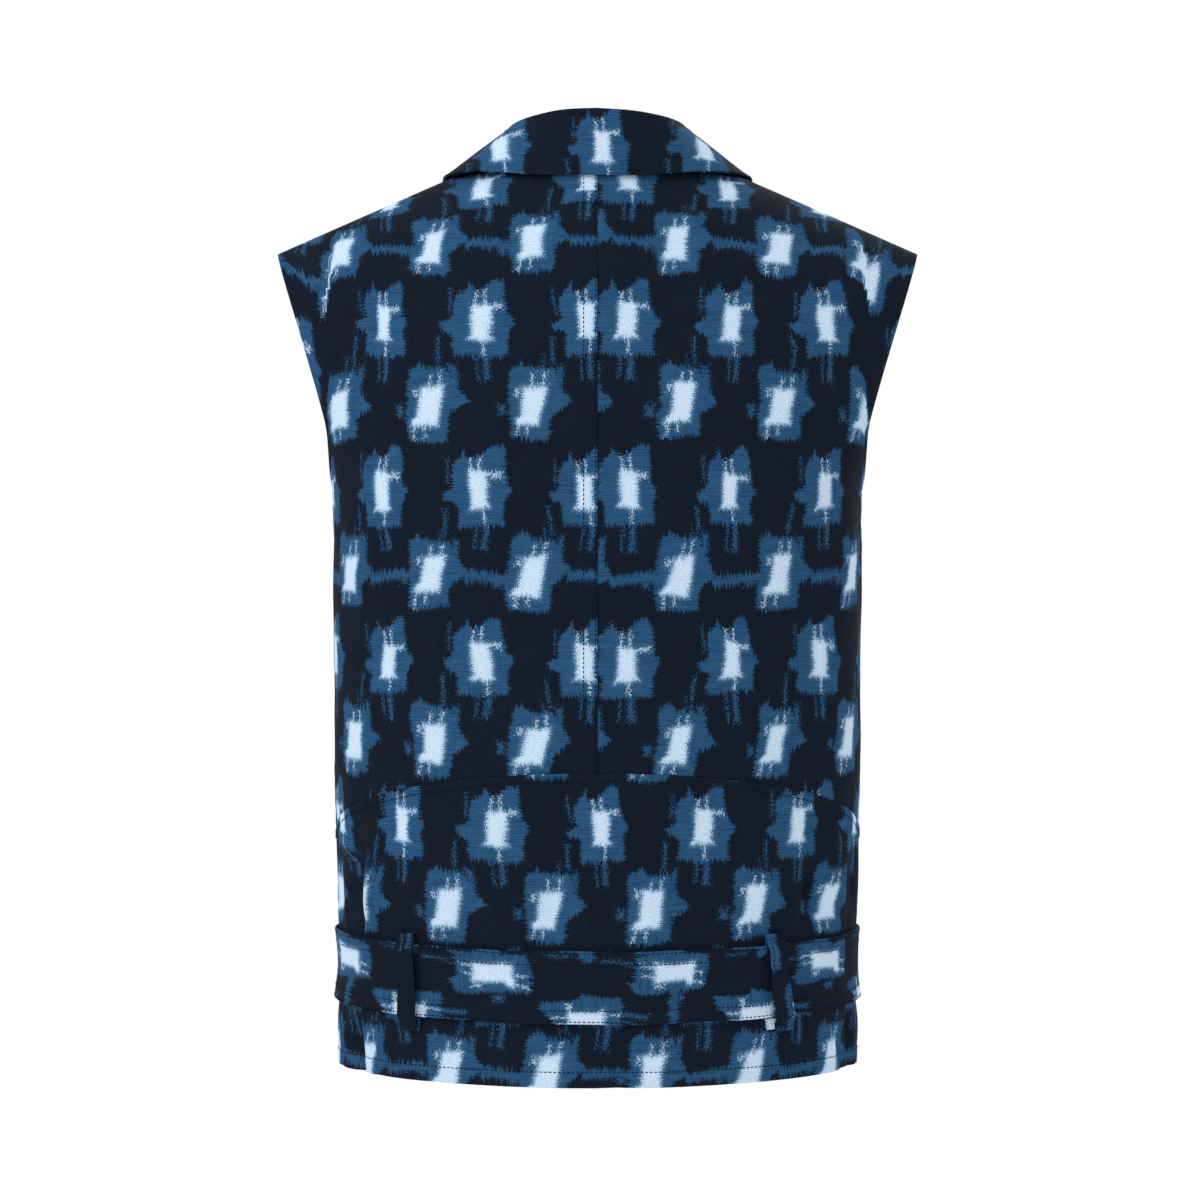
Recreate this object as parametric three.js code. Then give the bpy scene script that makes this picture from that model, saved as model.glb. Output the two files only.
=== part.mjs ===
// Sleeveless vest in printed cotton with a turned-down collar, lapels and a belt in two loops.
// It keeps the hollow form that it has when worn. Millimetres, +Z up, wearer facing -Y, wearer's left +X.
// The origin lies midway between the two points where the shoulder seams meet the neck seam.
import * as THREE from "three";

// Driving dimensions
const cloth = { wall: 1.6, collar: 2.0, lapel: 1.8, belt: 2.4, loop: 1.6, seamGap: 0.4, layerGap: 0.8 };
const levels = { underarm: -232, breakPoint: -270, beltTop: -541, beltBottom: -590, hem: -633 };
const shoulder = { neckX: 70, neckZ: -1, tipX: 223, tipZ: -67.5, seamY: -6, neckSoft: 8 };
const neck = { backY: 68, backZ: -10, round: 2.2, softHalf: 115, softPower: 1.5, fade: 22 };
const armhole = { backTurn: 25, frontTurn: 29, turnShare: 0.36, turnPower: 0.7, bend: 0.23, soft: 0.05 };
const backSeam = { centreZ: -421, sideZ: -471 };
const closing = { overlap: 25, rightLift: 2.4, leftFootZ: -186 };

// Torso sections from hem to underarm: half width, depth behind and before the side seams, and the
// power of the superellipse, where 2 is an ellipse and more is squarer
const sections = [
  { z: -633, wide: 180.8, back: 108, front: 108.5, power: 1.9 },
  { z: -604, wide: 182, back: 107, front: 107.5, power: 1.98 },
  { z: -566, wide: 178.6, back: 104.5, front: 106.5, power: 2.02 },
  { z: -525, wide: 181.4, back: 105.5, front: 108, power: 2.05 },
  { z: -470, wide: 183, back: 107, front: 111, power: 2.1 },
  { z: -400, wide: 183.8, back: 109, front: 114.5, power: 2.16 },
  { z: -320, wide: 183.8, back: 111, front: 118, power: 2.3 },
  { z: -232, wide: 183.8, back: 112, front: 119, power: 2.75 },
];
const upperPower = { value: 2.35, from: 0.4 };

// Largest folds: girth angle from centre back (wearer's left is plus), height window,
// depth (minus goes in), half width and lean in degrees per 100 mm of height
const folds = [
  { at: 8, top: -425, peak: -518, bottom: -537, depth: -3.0, width: 4.0, lean: 0 },
  { at: -1.5, top: -470, peak: -524, bottom: -537, depth: -2.6, width: 3.2, lean: 1 },
  { at: 57, top: -455, peak: -512, bottom: -537, depth: 4.2, width: 5.0, lean: -2 },
  { at: 64.5, top: -450, peak: -508, bottom: -537, depth: -4.6, width: 4.0, lean: -2 },
  { at: 80, top: -440, peak: -515, bottom: -537, depth: -3.0, width: 4.5, lean: 3 },
  { at: -45, top: -480, peak: -518, bottom: -537, depth: 3.0, width: 4.5, lean: 5 },
  { at: -52, top: -470, peak: -516, bottom: -537, depth: -4.4, width: 4.0, lean: 6 },
  { at: -76, top: -430, peak: -510, bottom: -537, depth: -3.2, width: 4.0, lean: -3 },
  { at: 28, top: -490, peak: -522, bottom: -537, depth: -1.6, width: 4.0, lean: 2 },
  { at: -22, top: -485, peak: -522, bottom: -537, depth: -1.8, width: 3.8, lean: -2 },
  { at: -4, top: -592, peak: -622, bottom: -700, depth: -2.2, width: 4.0, lean: 0 },
  { at: 66, top: -592, peak: -612, bottom: -700, depth: -3.8, width: 4.2, lean: 4 },
  { at: 75, top: -592, peak: -612, bottom: -650, depth: 1.6, width: 4.2, lean: 4 },
  { at: -71, top: -592, peak: -610, bottom: -690, depth: -3.6, width: 4.4, lean: 10 },
  { at: 112, top: -400, peak: -512, bottom: -537, depth: -3.4, width: 5.0, lean: -4 },
  { at: 138, top: -440, peak: -518, bottom: -537, depth: -2.8, width: 4.4, lean: 3 },
  { at: -108, top: -380, peak: -508, bottom: -537, depth: -3.6, width: 5.2, lean: 4 },
  { at: -135, top: -450, peak: -520, bottom: -537, depth: -2.6, width: 4.2, lean: -3 },
  { at: 126, top: -592, peak: -618, bottom: -720, depth: -2.6, width: 4.6, lean: 3 },
  { at: -122, top: -592, peak: -618, bottom: -720, depth: -2.8, width: 4.8, lean: -4 },
  { at: 118, top: -225, peak: -330, bottom: -430, depth: -2.6, width: 8.0, lean: 6 },
  { at: -121, top: -220, peak: -320, bottom: -440, depth: -2.8, width: 8.5, lean: -6 },
];

// Collar sections from centre back to the gorge on the wearer's left. On the back they give the neck
// seam (seamX), and on the front its height (seamZ) and how far the roll rises from it and leans up.
// Then the outer edge on the body seen from behind or before, how far that edge stands off and how
// far the fall bows out.
const collarSections = [
  { seamX: 0, roll: [0, 66.5, 25.4], edge: [0, -21], lift: 3.6, bow: 2.5 },
  { seamX: 25, roll: [24, 62.8, 24.6], edge: [32, -20], lift: 3.6, bow: 2.5 },
  { seamX: 45, roll: [41.5, 51, 22.2], edge: [58, -18.6], lift: 4.4, bow: 2 },
  { seamX: 59, roll: [51, 33, 20.4], edge: [77, -19.4], lift: 6.6, bow: 1.5 },
  { seamX: 67, roll: [56.5, 13, 18.6], edge: [92, -19.2], lift: 6.0, bow: 1 },
  { seamX: 70, roll: [60, -8, 14], edge: [105, -17.2], lift: 3.6, bow: 0.5 },
  { seamZ: -20, rise: 11, lean: 0.62, edge: [109, -29], lift: 3.0, bow: 1 },
  { seamZ: -37, rise: 6.4, lean: 0.35, edge: [109, -41], lift: 3.0, bow: 1 },
  { seamZ: -52, rise: 3.2, lean: 0, edge: [107, -53], lift: 3.0, bow: 1 },
];
const corner = 5;
const gorge = { notch: [86.5, -67.2], share: 0.62, gap: 0.8, from: 6, steps: [4, 3] };
const lapelPeak = { x: 131, z: -90 };
const roll = { radius: 1.7, steps: 4 };

// Belt layers at the buckle: how far the ends step out from the band, and where they do
const belt = { sideRise: 3, layer: 3.5, over: 6.4, rampIn: 3, rampOut: 19, tailX: 112, tip: 24 };
const buckle = { wide: 48, high: 62, bar: 4, centreBar: 3, thick: 2.5, corner: 6, bevel: 0.4, out: 7.0 };
const loops = [
  { name: "belt_loop_left", at: 44.4, lean: 1.0 },
  { name: "belt_loop_right", at: -42.2, lean: 2.8 },
];
const loop = { top: -534, bottom: -597, wide: 13.4, bulge: 9, mmPerDegree: 2.6 };

// Finishes
const print = { color: 0x16283f, roughness: 0.9, metalness: 0 };
const metal = { color: 0x8d9096, roughness: 0.35, metalness: 0.9 };

const degrees = Math.PI / 180;
const lerp = THREE.MathUtils.lerp;
const clamp = THREE.MathUtils.clamp;

function ease(from, to, value) {
  const t = clamp((value - from) / (to - from), 0, 1);
  return t * t * (3 - 2 * t);
}

function signedPower(value, power) {
  return Math.sign(value) * Math.abs(value) ** power;
}

// One column of a table, on a smooth curve through its rows
function alongTable(table, key, place, position) {
  let k = 0;
  while (k < table.length - 2 && position > table[k + 1][place]) k += 1;
  const slopeAt = (i) => {
    const low = table[Math.max(i - 1, 0)];
    const high = table[Math.min(i + 1, table.length - 1)];
    return (high[key] - low[key]) / (high[place] - low[place]);
  };
  const span = table[k + 1][place] - table[k][place];
  const t = clamp((position - table[k][place]) / span, 0, 1);
  const rise = 3 * t * t - 2 * t * t * t;
  const leave = (t * t * t - 2 * t * t + t) * span * slopeAt(k);
  const arrive = (t * t * t - t * t) * span * slopeAt(k + 1);
  return table[k][key] + (table[k + 1][key] - table[k][key]) * rise + leave + arrive;
}

// How far the folds move the cloth out at a girth angle in degrees and a height
function foldDepth(angle, z) {
  let depth = 0;
  for (const fold of folds) {
    const end = z >= fold.peak ? fold.top : fold.bottom;
    const window = ease(end, fold.peak, z);
    const centre = fold.at + (fold.lean * (z - fold.peak)) / 100;
    const across = (angle - centre) / fold.width;
    depth += fold.depth * window * Math.exp(-across * across);
  }
  return depth;
}

function sectionPower(z) {
  return alongTable(sections, "power", "z", z);
}

function sectionX(angle, z) {
  return alongTable(sections, "wide", "z", z) * signedPower(Math.sin(angle), 2 / sectionPower(z));
}

// Torso point up to the underarm, by girth angle in radians from centre back, moved out by lift
function torso(angle, z, lift = 0) {
  const power = sectionPower(z);
  const wide = alongTable(sections, "wide", "z", z);
  const deep = alongTable(sections, Math.cos(angle) > 0 ? "back" : "front", "z", z);
  const x = wide * signedPower(Math.sin(angle), 2 / power);
  const y = deep * signedPower(Math.cos(angle), 2 / power);
  const out = new THREE.Vector3(
    signedPower(x / wide, power - 1) / wide,
    signedPower(y / deep, power - 1) / deep,
    0,
  ).normalize();
  let turn = angle / degrees;
  if (turn > 180) turn -= 360;
  if (turn < -180) turn += 360;
  return new THREE.Vector3(x, y, z).addScaledVector(out, lift + foldDepth(turn, z));
}

function torsoAngle(x, z, isBack) {
  const wide = alongTable(sections, "wide", "z", z);
  const angle = Math.asin(signedPower(clamp(x / wide, -1, 1), sectionPower(z) / 2));
  return isBack ? angle : Math.PI - angle;
}

// Above the underarm a row is a share of the way up to the shoulder seam or the back neck seam
function armholeTurn(share, isBack) {
  const turn = isBack ? armhole.backTurn : armhole.frontTurn;
  const t = clamp(share / armhole.turnShare, 0, 1);
  return (90 - turn * (1 - (1 - t) ** 2) ** armhole.turnPower) * degrees;
}

// The armhole edge rises straight up the side, then bends out to the shoulder tip
function armholeX(share) {
  const bend = (s) => Math.hypot(s - armhole.bend, armhole.soft) + s - armhole.bend;
  const wide = alongTable(sections, "wide", "z", levels.underarm);
  return lerp(wide, shoulder.tipX, (bend(share) - bend(0)) / (bend(1) - bend(0)));
}

function powerAt(share) {
  return lerp(sectionPower(levels.underarm), upperPower.value, ease(0, upperPower.from, share));
}

function upperWidth(share, isBack) {
  return armholeX(share) / Math.sin(armholeTurn(share, isBack)) ** (2 / powerAt(share));
}

function topZ(x, share, isBack) {
  const slope = (shoulder.tipZ - shoulder.neckZ) / (shoulder.tipX - shoulder.neckX);
  const side = Math.abs(x) - shoulder.neckX;
  const sharp = slope * Math.max(side, 0);
  const soft = slope * shoulder.neckSoft * Math.log(1 + Math.exp(side / shoulder.neckSoft));
  const dip = isBack ? neck.backZ * (1 - Math.min(Math.abs(x) / shoulder.neckX, 1) ** 2) : 0;
  return shoulder.neckZ + lerp(soft, sharp, share ** 8) + dip;
}

// The top line runs along the neck and shoulder seams, and softens into one wide curve below them
function topY(x, isBack, share = 1) {
  if (!isBack) return shoulder.seamY;
  const across = Math.min(Math.abs(x) / shoulder.neckX, 1);
  const seam = (1 - across ** neck.round) ** (1 / neck.round);
  const soft = (1 - Math.min(Math.abs(x) / neck.softHalf, 1) ** 2) ** neck.softPower;
  return shoulder.seamY + (neck.backY - shoulder.seamY) * lerp(soft, seam, share ** neck.fade);
}

function upper(x, share, isBack, lift = 0) {
  const wide = upperWidth(share, isBack);
  const deep = alongTable(sections, isBack ? "back" : "front", "z", levels.underarm);
  const power = powerAt(share);
  const low = deep * (1 - clamp(Math.abs(x) / wide, 0, 1) ** power) ** (1 / power);
  const overShoulder = ease(40, 115, Math.abs(x));
  const rise = isBack ? lerp(2.5, 2.2, overShoulder) : lerp(1.8, 2.3, overShoulder);
  const rounding = (1 - Math.min(share, 1) ** rise) ** (1 / (1 + overShoulder));
  const side = isBack ? 1 : -1;
  const top = topY(x, isBack, clamp(share, 0, 1));
  const y = top + (side * low - top) * rounding;
  const z = levels.underarm + (topZ(x, share, isBack) - levels.underarm) * share;
  const chest = Math.asin(signedPower(clamp(x / wide, -1, 1), power / 2)) / degrees;
  const turn = isBack ? chest : Math.sign(x || 1) * 180 - chest;
  const fade = 1 - ease(0, 0.3, share);
  const depth = lift + foldDepth(turn, levels.underarm) * fade;
  return new THREE.Vector3(x, y + side * depth, z);
}

// The share of the way up at which the outer surface has a given height
function shareAt(x, z, isBack) {
  let share = (z - levels.underarm) / -levels.underarm;
  for (let k = 0; k < 6; k += 1) {
    share = (z - levels.underarm) / (topZ(x, share, isBack) - levels.underarm);
  }
  return share;
}

// A point on the body seen at x and z, and the outward direction there
function onBody(x, z, isBack, lift) {
  const step = 0.5;
  const at = (px, pz) =>
    pz > levels.underarm
      ? upper(px, Math.min(shareAt(px, pz, isBack), 1), isBack)
      : torso(torsoAngle(px, pz, isBack), pz);
  const point = at(x, z);
  const across = at(x + step, z).sub(at(x - step, z));
  const up = at(x, z).sub(at(x, z - step));
  const out = across.cross(up).normalize();
  if (out.y * (isBack ? 1 : -1) < 0) out.negate();
  return point.addScaledVector(out, lift);
}

// A closed wall from rows of points on its middle surface
function wallGeometry(rows, thickness) {
  const n = rows.length;
  const m = rows[0].length;
  const positions = [];
  for (const side of [1, -1]) {
    for (let i = 0; i < n; i += 1) {
      for (let j = 0; j < m; j += 1) {
        const along = rows[i][Math.min(j + 1, m - 1)].clone().sub(rows[i][Math.max(j - 1, 0)]);
        const up = rows[Math.min(i + 1, n - 1)][j].clone().sub(rows[Math.max(i - 1, 0)][j]);
        const out = along.cross(up).normalize();
        const p = rows[i][j].clone().addScaledVector(out, (side * thickness) / 2);
        positions.push(p.x, p.y, p.z);
      }
    }
  }
  const outer = (i, j) => i * m + j;
  const inner = (i, j) => n * m + i * m + j;
  const faces = [];
  for (let i = 0; i < n - 1; i += 1) {
    for (let j = 0; j < m - 1; j += 1) {
      faces.push(outer(i, j), outer(i, j + 1), outer(i + 1, j + 1));
      faces.push(outer(i, j), outer(i + 1, j + 1), outer(i + 1, j));
      faces.push(inner(i, j), inner(i + 1, j + 1), inner(i, j + 1));
      faces.push(inner(i, j), inner(i + 1, j), inner(i + 1, j + 1));
    }
  }
  const rim = [];
  for (let j = 0; j < m - 1; j += 1) rim.push([0, j]);
  for (let i = 0; i < n - 1; i += 1) rim.push([i, m - 1]);
  for (let j = m - 1; j > 0; j -= 1) rim.push([n - 1, j]);
  for (let i = n - 1; i > 0; i -= 1) rim.push([i, 0]);
  rim.forEach((from, k) => {
    const to = rim[(k + 1) % rim.length];
    faces.push(outer(...to), outer(...from), inner(...from));
    faces.push(outer(...to), inner(...from), inner(...to));
  });
  const geometry = new THREE.BufferGeometry();
  geometry.setAttribute("position", new THREE.Float32BufferAttribute(positions, 3));
  geometry.setIndex(faces);
  return geometry;
}

function piece(name, geometry, finish) {
  const mesh = new THREE.Mesh(geometry, new THREE.MeshStandardMaterial(finish));
  mesh.name = name;
  return mesh;
}

const spread = (count) => Array.from({ length: count + 1 }, (_, k) => k / count);

// Rows crowd towards the shoulder seam, where the cloth turns over, and at the bottom of the armhole
const upperShares = spread(14).map((t) => 1 - (1 - t ** 1.9) ** 1.6);

function archZ(angle) {
  const t = Math.min(Math.abs(angle) / (90 * degrees), 1);
  return lerp(backSeam.centreZ, backSeam.sideZ, t ** 1.9);
}

// Upper back on one side, from the centre seam to the side seam and armhole
function backPanel(name, side) {
  const columns = spread(13);
  const lowerRows = spread(8);
  const trim = cloth.seamGap / 2;
  const rows = [];
  for (const t of lowerRows) {
    rows.push(
      columns.map((u) => {
        const angle = lerp(0, 90 * degrees, u);
        const z = lerp(archZ(angle) + trim, levels.underarm, t);
        const trimmed = lerp(trim / 150, 90 * degrees - trim / 150, u);
        return torso(side * trimmed, z);
      }),
    );
  }
  for (const share of upperShares.slice(1)) {
    const wide = upperWidth(share, true);
    const turn = armholeTurn(share, true);
    rows.push(
      columns.map((u) => {
        const x = wide * Math.sin(turn * u) ** (2 / powerAt(share));
        const top = Math.min(share, 1);
        const point = upper(side * Math.max(x, trim), top, true);
        if (share === 1) point.y += trim * 1.8 * ease(shoulder.neckX - 3, shoulder.neckX, x);
        return point;
      }),
    );
  }
  return piece(name, wallGeometry(rows, cloth.wall), print);
}

// Lower back, from the arched seam to the hem and from side seam to side seam
function lowerBack() {
  const columns = spread(40);
  const trim = cloth.seamGap / 2;
  const rows = spread(12).map((t) =>
    columns.map((u) => {
      const limit = 90 * degrees - trim / 150;
      const angle = lerp(-limit, limit, u);
      return torso(angle, lerp(levels.hem, archZ(angle) - trim, t));
    }),
  );
  return piece("back_lower", wallGeometry(rows, cloth.wall), print);
}

// Where a front ends towards the middle: the closing edge, and above it the roll line of the lapel
function frontEdgeX(z) {
  const rise = Math.max((z - levels.breakPoint) / -levels.breakPoint, 0);
  return lerp(-closing.overlap, shoulder.neckX, rise);
}

// The right front lies over the left one near the closing
function frontLift(x, side) {
  return side < 0 ? closing.rightLift * ease(85, 38, side * x) : 0;
}

function frontUpper(x, share, side) {
  return upper(x, share, false, frontLift(x, side) * (1 - ease(0, 0.5, share)));
}

function frontPanel(name, side) {
  const columns = spread(15);
  const trim = cloth.seamGap / 2;
  const heights = [
    ...spread(12).map((t) => lerp(levels.hem, levels.breakPoint, t)),
    ...spread(2).slice(1).map((t) => lerp(levels.breakPoint, levels.underarm, t)),
  ];
  const rows = heights.map((z) =>
    columns.map((u) => {
      const edge = torsoAngle(frontEdgeX(z), z, false);
      const angle = lerp(edge, 90 * degrees + trim / 150, u);
      const x = side * sectionX(angle, z);
      return torso(side * angle, z, frontLift(x, side));
    }),
  );
  for (const share of upperShares.slice(1)) {
    const wide = upperWidth(share, false);
    const turn = armholeTurn(share, false);
    const edgeZ = levels.underarm * (1 - share);
    const power = powerAt(share);
    const edge = Math.asin(signedPower(frontEdgeX(edgeZ) / wide, power / 2));
    rows.push(
      columns.map((u) => {
        const x = side * wide * signedPower(Math.sin(lerp(edge, turn, u)), 2 / power);
        const point = frontUpper(x, share, side);
        if (share === 1) point.y -= trim * 1.8;
        return point;
      }),
    );
  }
  return piece(name, wallGeometry(rows, cloth.wall), print);
}

// Points and outward directions over the chest, back and shoulder of one side
function bodySamples(side) {
  const samples = [];
  const add = (at, u, v, outward) => {
    const point = at(u, v);
    const across = at(u + 0.4, v).sub(at(u - 0.4, v));
    const up = at(u, v).sub(at(u, v - 0.002));
    const out = across.cross(up).normalize();
    if (out.dot(outward) < 0) out.negate();
    samples.push({ point, out });
  };
  const back = (x, share) => upper(x, share, true);
  const front = (x, share) => frontUpper(x, share, side);
  const low = (x, rise) => {
    const z = levels.underarm + 100 * rise;
    return torso(side * torsoAngle(side * x, z, false), z, frontLift(x, side));
  };
  for (let x = 2; x < shoulder.tipX; x += 4) {
    for (const t of spread(48).slice(1)) {
      const share = 1 - (1 - t) ** 2;
      const tip = new THREE.Vector3(0, 0, share ** 6);
      add(back, side * x, Math.min(share, 0.998), tip.clone().setY(1 - share ** 6));
      add(front, side * x, Math.min(share, 0.998), tip.clone().setY(share ** 6 - 1));
    }
  }
  for (let x = -22; x < 120; x += 4) {
    for (const t of spread(12)) add(low, side * x, -t * 0.5, new THREE.Vector3(0, -1, 0));
  }
  return samples;
}

const samplesOf = { left: bodySamples(1), right: bodySamples(-1) };

// Moves a point out until it is clear of the body's cloth by a distance
function keepClear(point, side, distance) {
  for (let pass = 0; pass < 2; pass += 1) {
    let nearest = null;
    let least = Infinity;
    for (const sample of samplesOf[side > 0 ? "left" : "right"]) {
      const far = sample.point.distanceToSquared(point);
      if (far < least) {
        least = far;
        nearest = sample;
      }
    }
    const above = point.clone().sub(nearest.point).dot(nearest.out);
    if (above < distance) point.addScaledVector(nearest.out, distance - above);
  }
  return point;
}

// A point on the free edge of a front, and the directions along it, out of it and beyond it
function frontEdge(z, side) {
  const at = (height, inset) => {
    const x = frontEdgeX(height) + inset;
    if (height > levels.underarm) {
      return frontUpper(side * x, (height - levels.underarm) / -levels.underarm, side);
    }
    return torso(side * torsoAngle(x, height, false), height, frontLift(side * x, side));
  };
  const point = at(z, 0);
  const along = at(Math.min(z + 2, -0.5), 0).sub(at(z - 2, 0)).normalize();
  const inward = at(z, 3).sub(point).normalize();
  const out = along.clone().cross(inward).normalize();
  if (out.y > 0) out.negate();
  const across = out.clone().cross(along).normalize();
  if (across.dot(inward) > 0) across.negate();
  return { point, along, out, across };
}

// Half a turn of cloth from an edge point over to the body's outer side
function rollPoints(start, across, out, radius, reach) {
  const points = [start.clone()];
  const centre = start.clone().addScaledVector(out, radius);
  for (let k = 0; k <= roll.steps; k += 1) {
    const turn = (Math.PI * k) / roll.steps;
    points.push(
      centre
        .clone()
        .addScaledVector(across, radius * Math.sin(turn) + reach)
        .addScaledVector(out, -radius * Math.cos(turn)),
    );
  }
  return points;
}

// Lapel on one side: from the front's roll line over to the outer edge, up to the gorge
function lapel(name, side) {
  const foot = side > 0 ? closing.leftFootZ : levels.breakPoint + 6;
  const top = collarSections.at(-1).seamZ - gorge.gap;
  const clear = cloth.wall / 2 + cloth.layerGap + cloth.lapel / 2;
  const footX = frontEdgeX(foot);
  const rows = spread(16).map((t) => {
    const z = lerp(foot, top, t);
    const edge = frontEdge(z, side);
    const start = edge.point.clone().addScaledVector(edge.across, cloth.seamGap);
    const points = rollPoints(start, edge.across, edge.out, roll.radius, 0.3 + 0.7 * t);
    const belly = 11 * Math.sin(Math.PI * t ** 0.85);
    const outerX = lerp(footX + 6, lapelPeak.x, t ** 1.12) + belly;
    const outerZ = lerp(foot + 2, lapelPeak.z, t) - belly * 0.35;
    const rollX = frontEdgeX(z) + 1;
    for (const s of spread(8).slice(1)) {
      const lift = clear + 2.2 * Math.sin(Math.PI * s) * t;
      const point = onBody(side * lerp(rollX, outerX, s), lerp(z, outerZ, s), false, lift);
      points.push(keepClear(point, side, clear));
    }
    return points;
  });
  return piece(name, wallGeometry(rows, cloth.lapel), print);
}

// Collar columns by place: 0 at centre back, then a row of the table a step, to the gorge
const collarLast = collarSections.length - 1;
const collarTable = collarSections.map((row, k) => {
  const crest = row.roll ? new THREE.Vector3(...row.roll) : frontRoll(row);
  return {
    k,
    rollX: crest.x,
    rollY: crest.y,
    rollZ: crest.z,
    edgeX: row.edge[0],
    edgeZ: row.edge[1],
    lift: row.lift,
    bow: row.bow,
  };
});

function frontRoll({ seamZ, rise, lean }) {
  const edge = frontEdge(seamZ, 1);
  const up = edge.across.clone().multiplyScalar(1 - lean).add(new THREE.Vector3(0, 0, lean)).normalize();
  return edge.point.clone().addScaledVector(up, rise);
}

const neckTable = collarSections.slice(0, corner + 1).map((row, k) => ({ k, x: row.seamX }));
const gorgeTable = collarSections
  .slice(corner)
  .map((row, k) => ({ k: k + corner, z: row.seamZ ?? -0.5 }));

function collarSeam(place) {
  if (place > corner) return frontEdge(alongTable(gorgeTable, "z", "k", place), 1).point;
  const x = alongTable(neckTable, "x", "k", place);
  return new THREE.Vector3(x, topY(x, true), topZ(x, 1, true));
}

function collarRoll(place) {
  const at = (key) => alongTable(collarTable, key, "k", clamp(place, 0, collarLast));
  return new THREE.Vector3(at("rollX"), at("rollY"), at("rollZ"));
}

function collarEdge(place) {
  const at = (key) => alongTable(collarTable, key, "k", place);
  const x = at("edgeX");
  const z = at("edgeZ");
  const back = onBody(x, Math.min(z, topZ(x, 1, true) - 0.5), true, at("lift"));
  const front = onBody(x, Math.min(z, topZ(x, 1, false) - 0.5), false, at("lift"));
  return back.lerp(front, ease(4.2, 5.8, place));
}

// The stand from the neck seam up to the roll, the roll, and the fall down to the outer edge
function collarSection(place) {
  const seam = collarSeam(place);
  const crest = collarRoll(place);
  const edge = collarEdge(place);
  const atFront = place > corner ? frontEdge(seam.z, 1) : null;
  const along = collarRoll(place + 0.1).sub(collarRoll(place - 0.1));
  if (place < 0.1) along.set(1, 0, 0);
  const stand = crest.clone().sub(seam);
  const outward = along.clone().cross(stand).normalize();
  if (outward.dot(atFront ? atFront.out : edge.clone().sub(crest)) < 0) outward.negate();
  const up = stand.clone().normalize();
  const away = atFront ? atFront.across : up;
  const base = seam.clone().addScaledVector(away, cloth.seamGap + 0.5);
  const bend = crest.clone().addScaledVector(up, -roll.radius);
  const points = spread(3).slice(0, -1).map((s) => base.clone().lerp(bend, s));
  const centre = crest.clone().addScaledVector(outward, roll.radius).addScaledVector(up, -roll.radius);
  for (let k = 0; k <= roll.steps; k += 1) {
    const turn = (Math.PI * k) / roll.steps;
    points.push(
      centre
        .clone()
        .addScaledVector(up, roll.radius * Math.sin(turn))
        .addScaledVector(outward, -roll.radius * Math.cos(turn)),
    );
  }
  const start = points.at(-1).clone();
  const middle = start.clone().lerp(edge, 0.5).addScaledVector(outward, alongTable(collarTable, "bow", "k", place));
  const clear = cloth.wall / 2 + cloth.layerGap + cloth.collar / 2 + 0.2;
  const toNotch = clamp((place - gorge.from) / (collarLast - gorge.from), 0, 1) ** 1.5;
  const straight = start.clone().lerp(edge, gorge.share);
  const toShare = spread(gorge.steps[0]).slice(1).map((t) => gorge.share * t);
  const pastShare = spread(gorge.steps[1]).slice(1).map((t) => lerp(gorge.share, 1, t));
  for (const s of [...toShare, ...pastShare]) {
    const early = start.clone().lerp(middle, s);
    const point = early.lerp(middle.clone().lerp(edge, s), s);
    if (toNotch > 0) {
      const kink = s < gorge.share ? s / gorge.share : (1 - s) / (1 - gorge.share);
      point.x += (gorge.notch[0] - straight.x) * kink * toNotch;
      point.z += (gorge.notch[1] - straight.z) * kink * toNotch;
      const laid = onBody(point.x, point.z, false, alongTable(collarTable, "lift", "k", place));
      point.lerp(laid, ease(0, 0.4, s) * toNotch);
    }
    points.push(keepClear(point, 1, clear));
  }
  return points;
}

function collar() {
  const places = spread(32).map((t) => lerp(-collarLast, collarLast, t));
  const rows = places.map((place) =>
    collarSection(Math.abs(place)).map((p) => new THREE.Vector3(place < 0 ? -p.x : p.x, p.y, p.z)),
  );
  return piece("collar", wallGeometry(rows, cloth.collar), print);
}

// Height of the belt's middle at a girth angle: it rises a little towards the sides
function beltRise(angle) {
  return belt.sideRise * Math.sin(angle) ** 2;
}

// How far the belt steps out where the right front laps over the left
function overLap(x) {
  return x < 27 ? closing.rightLift * ease(-92, -42, x) : closing.rightLift * ease(90, 27, x);
}

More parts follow.
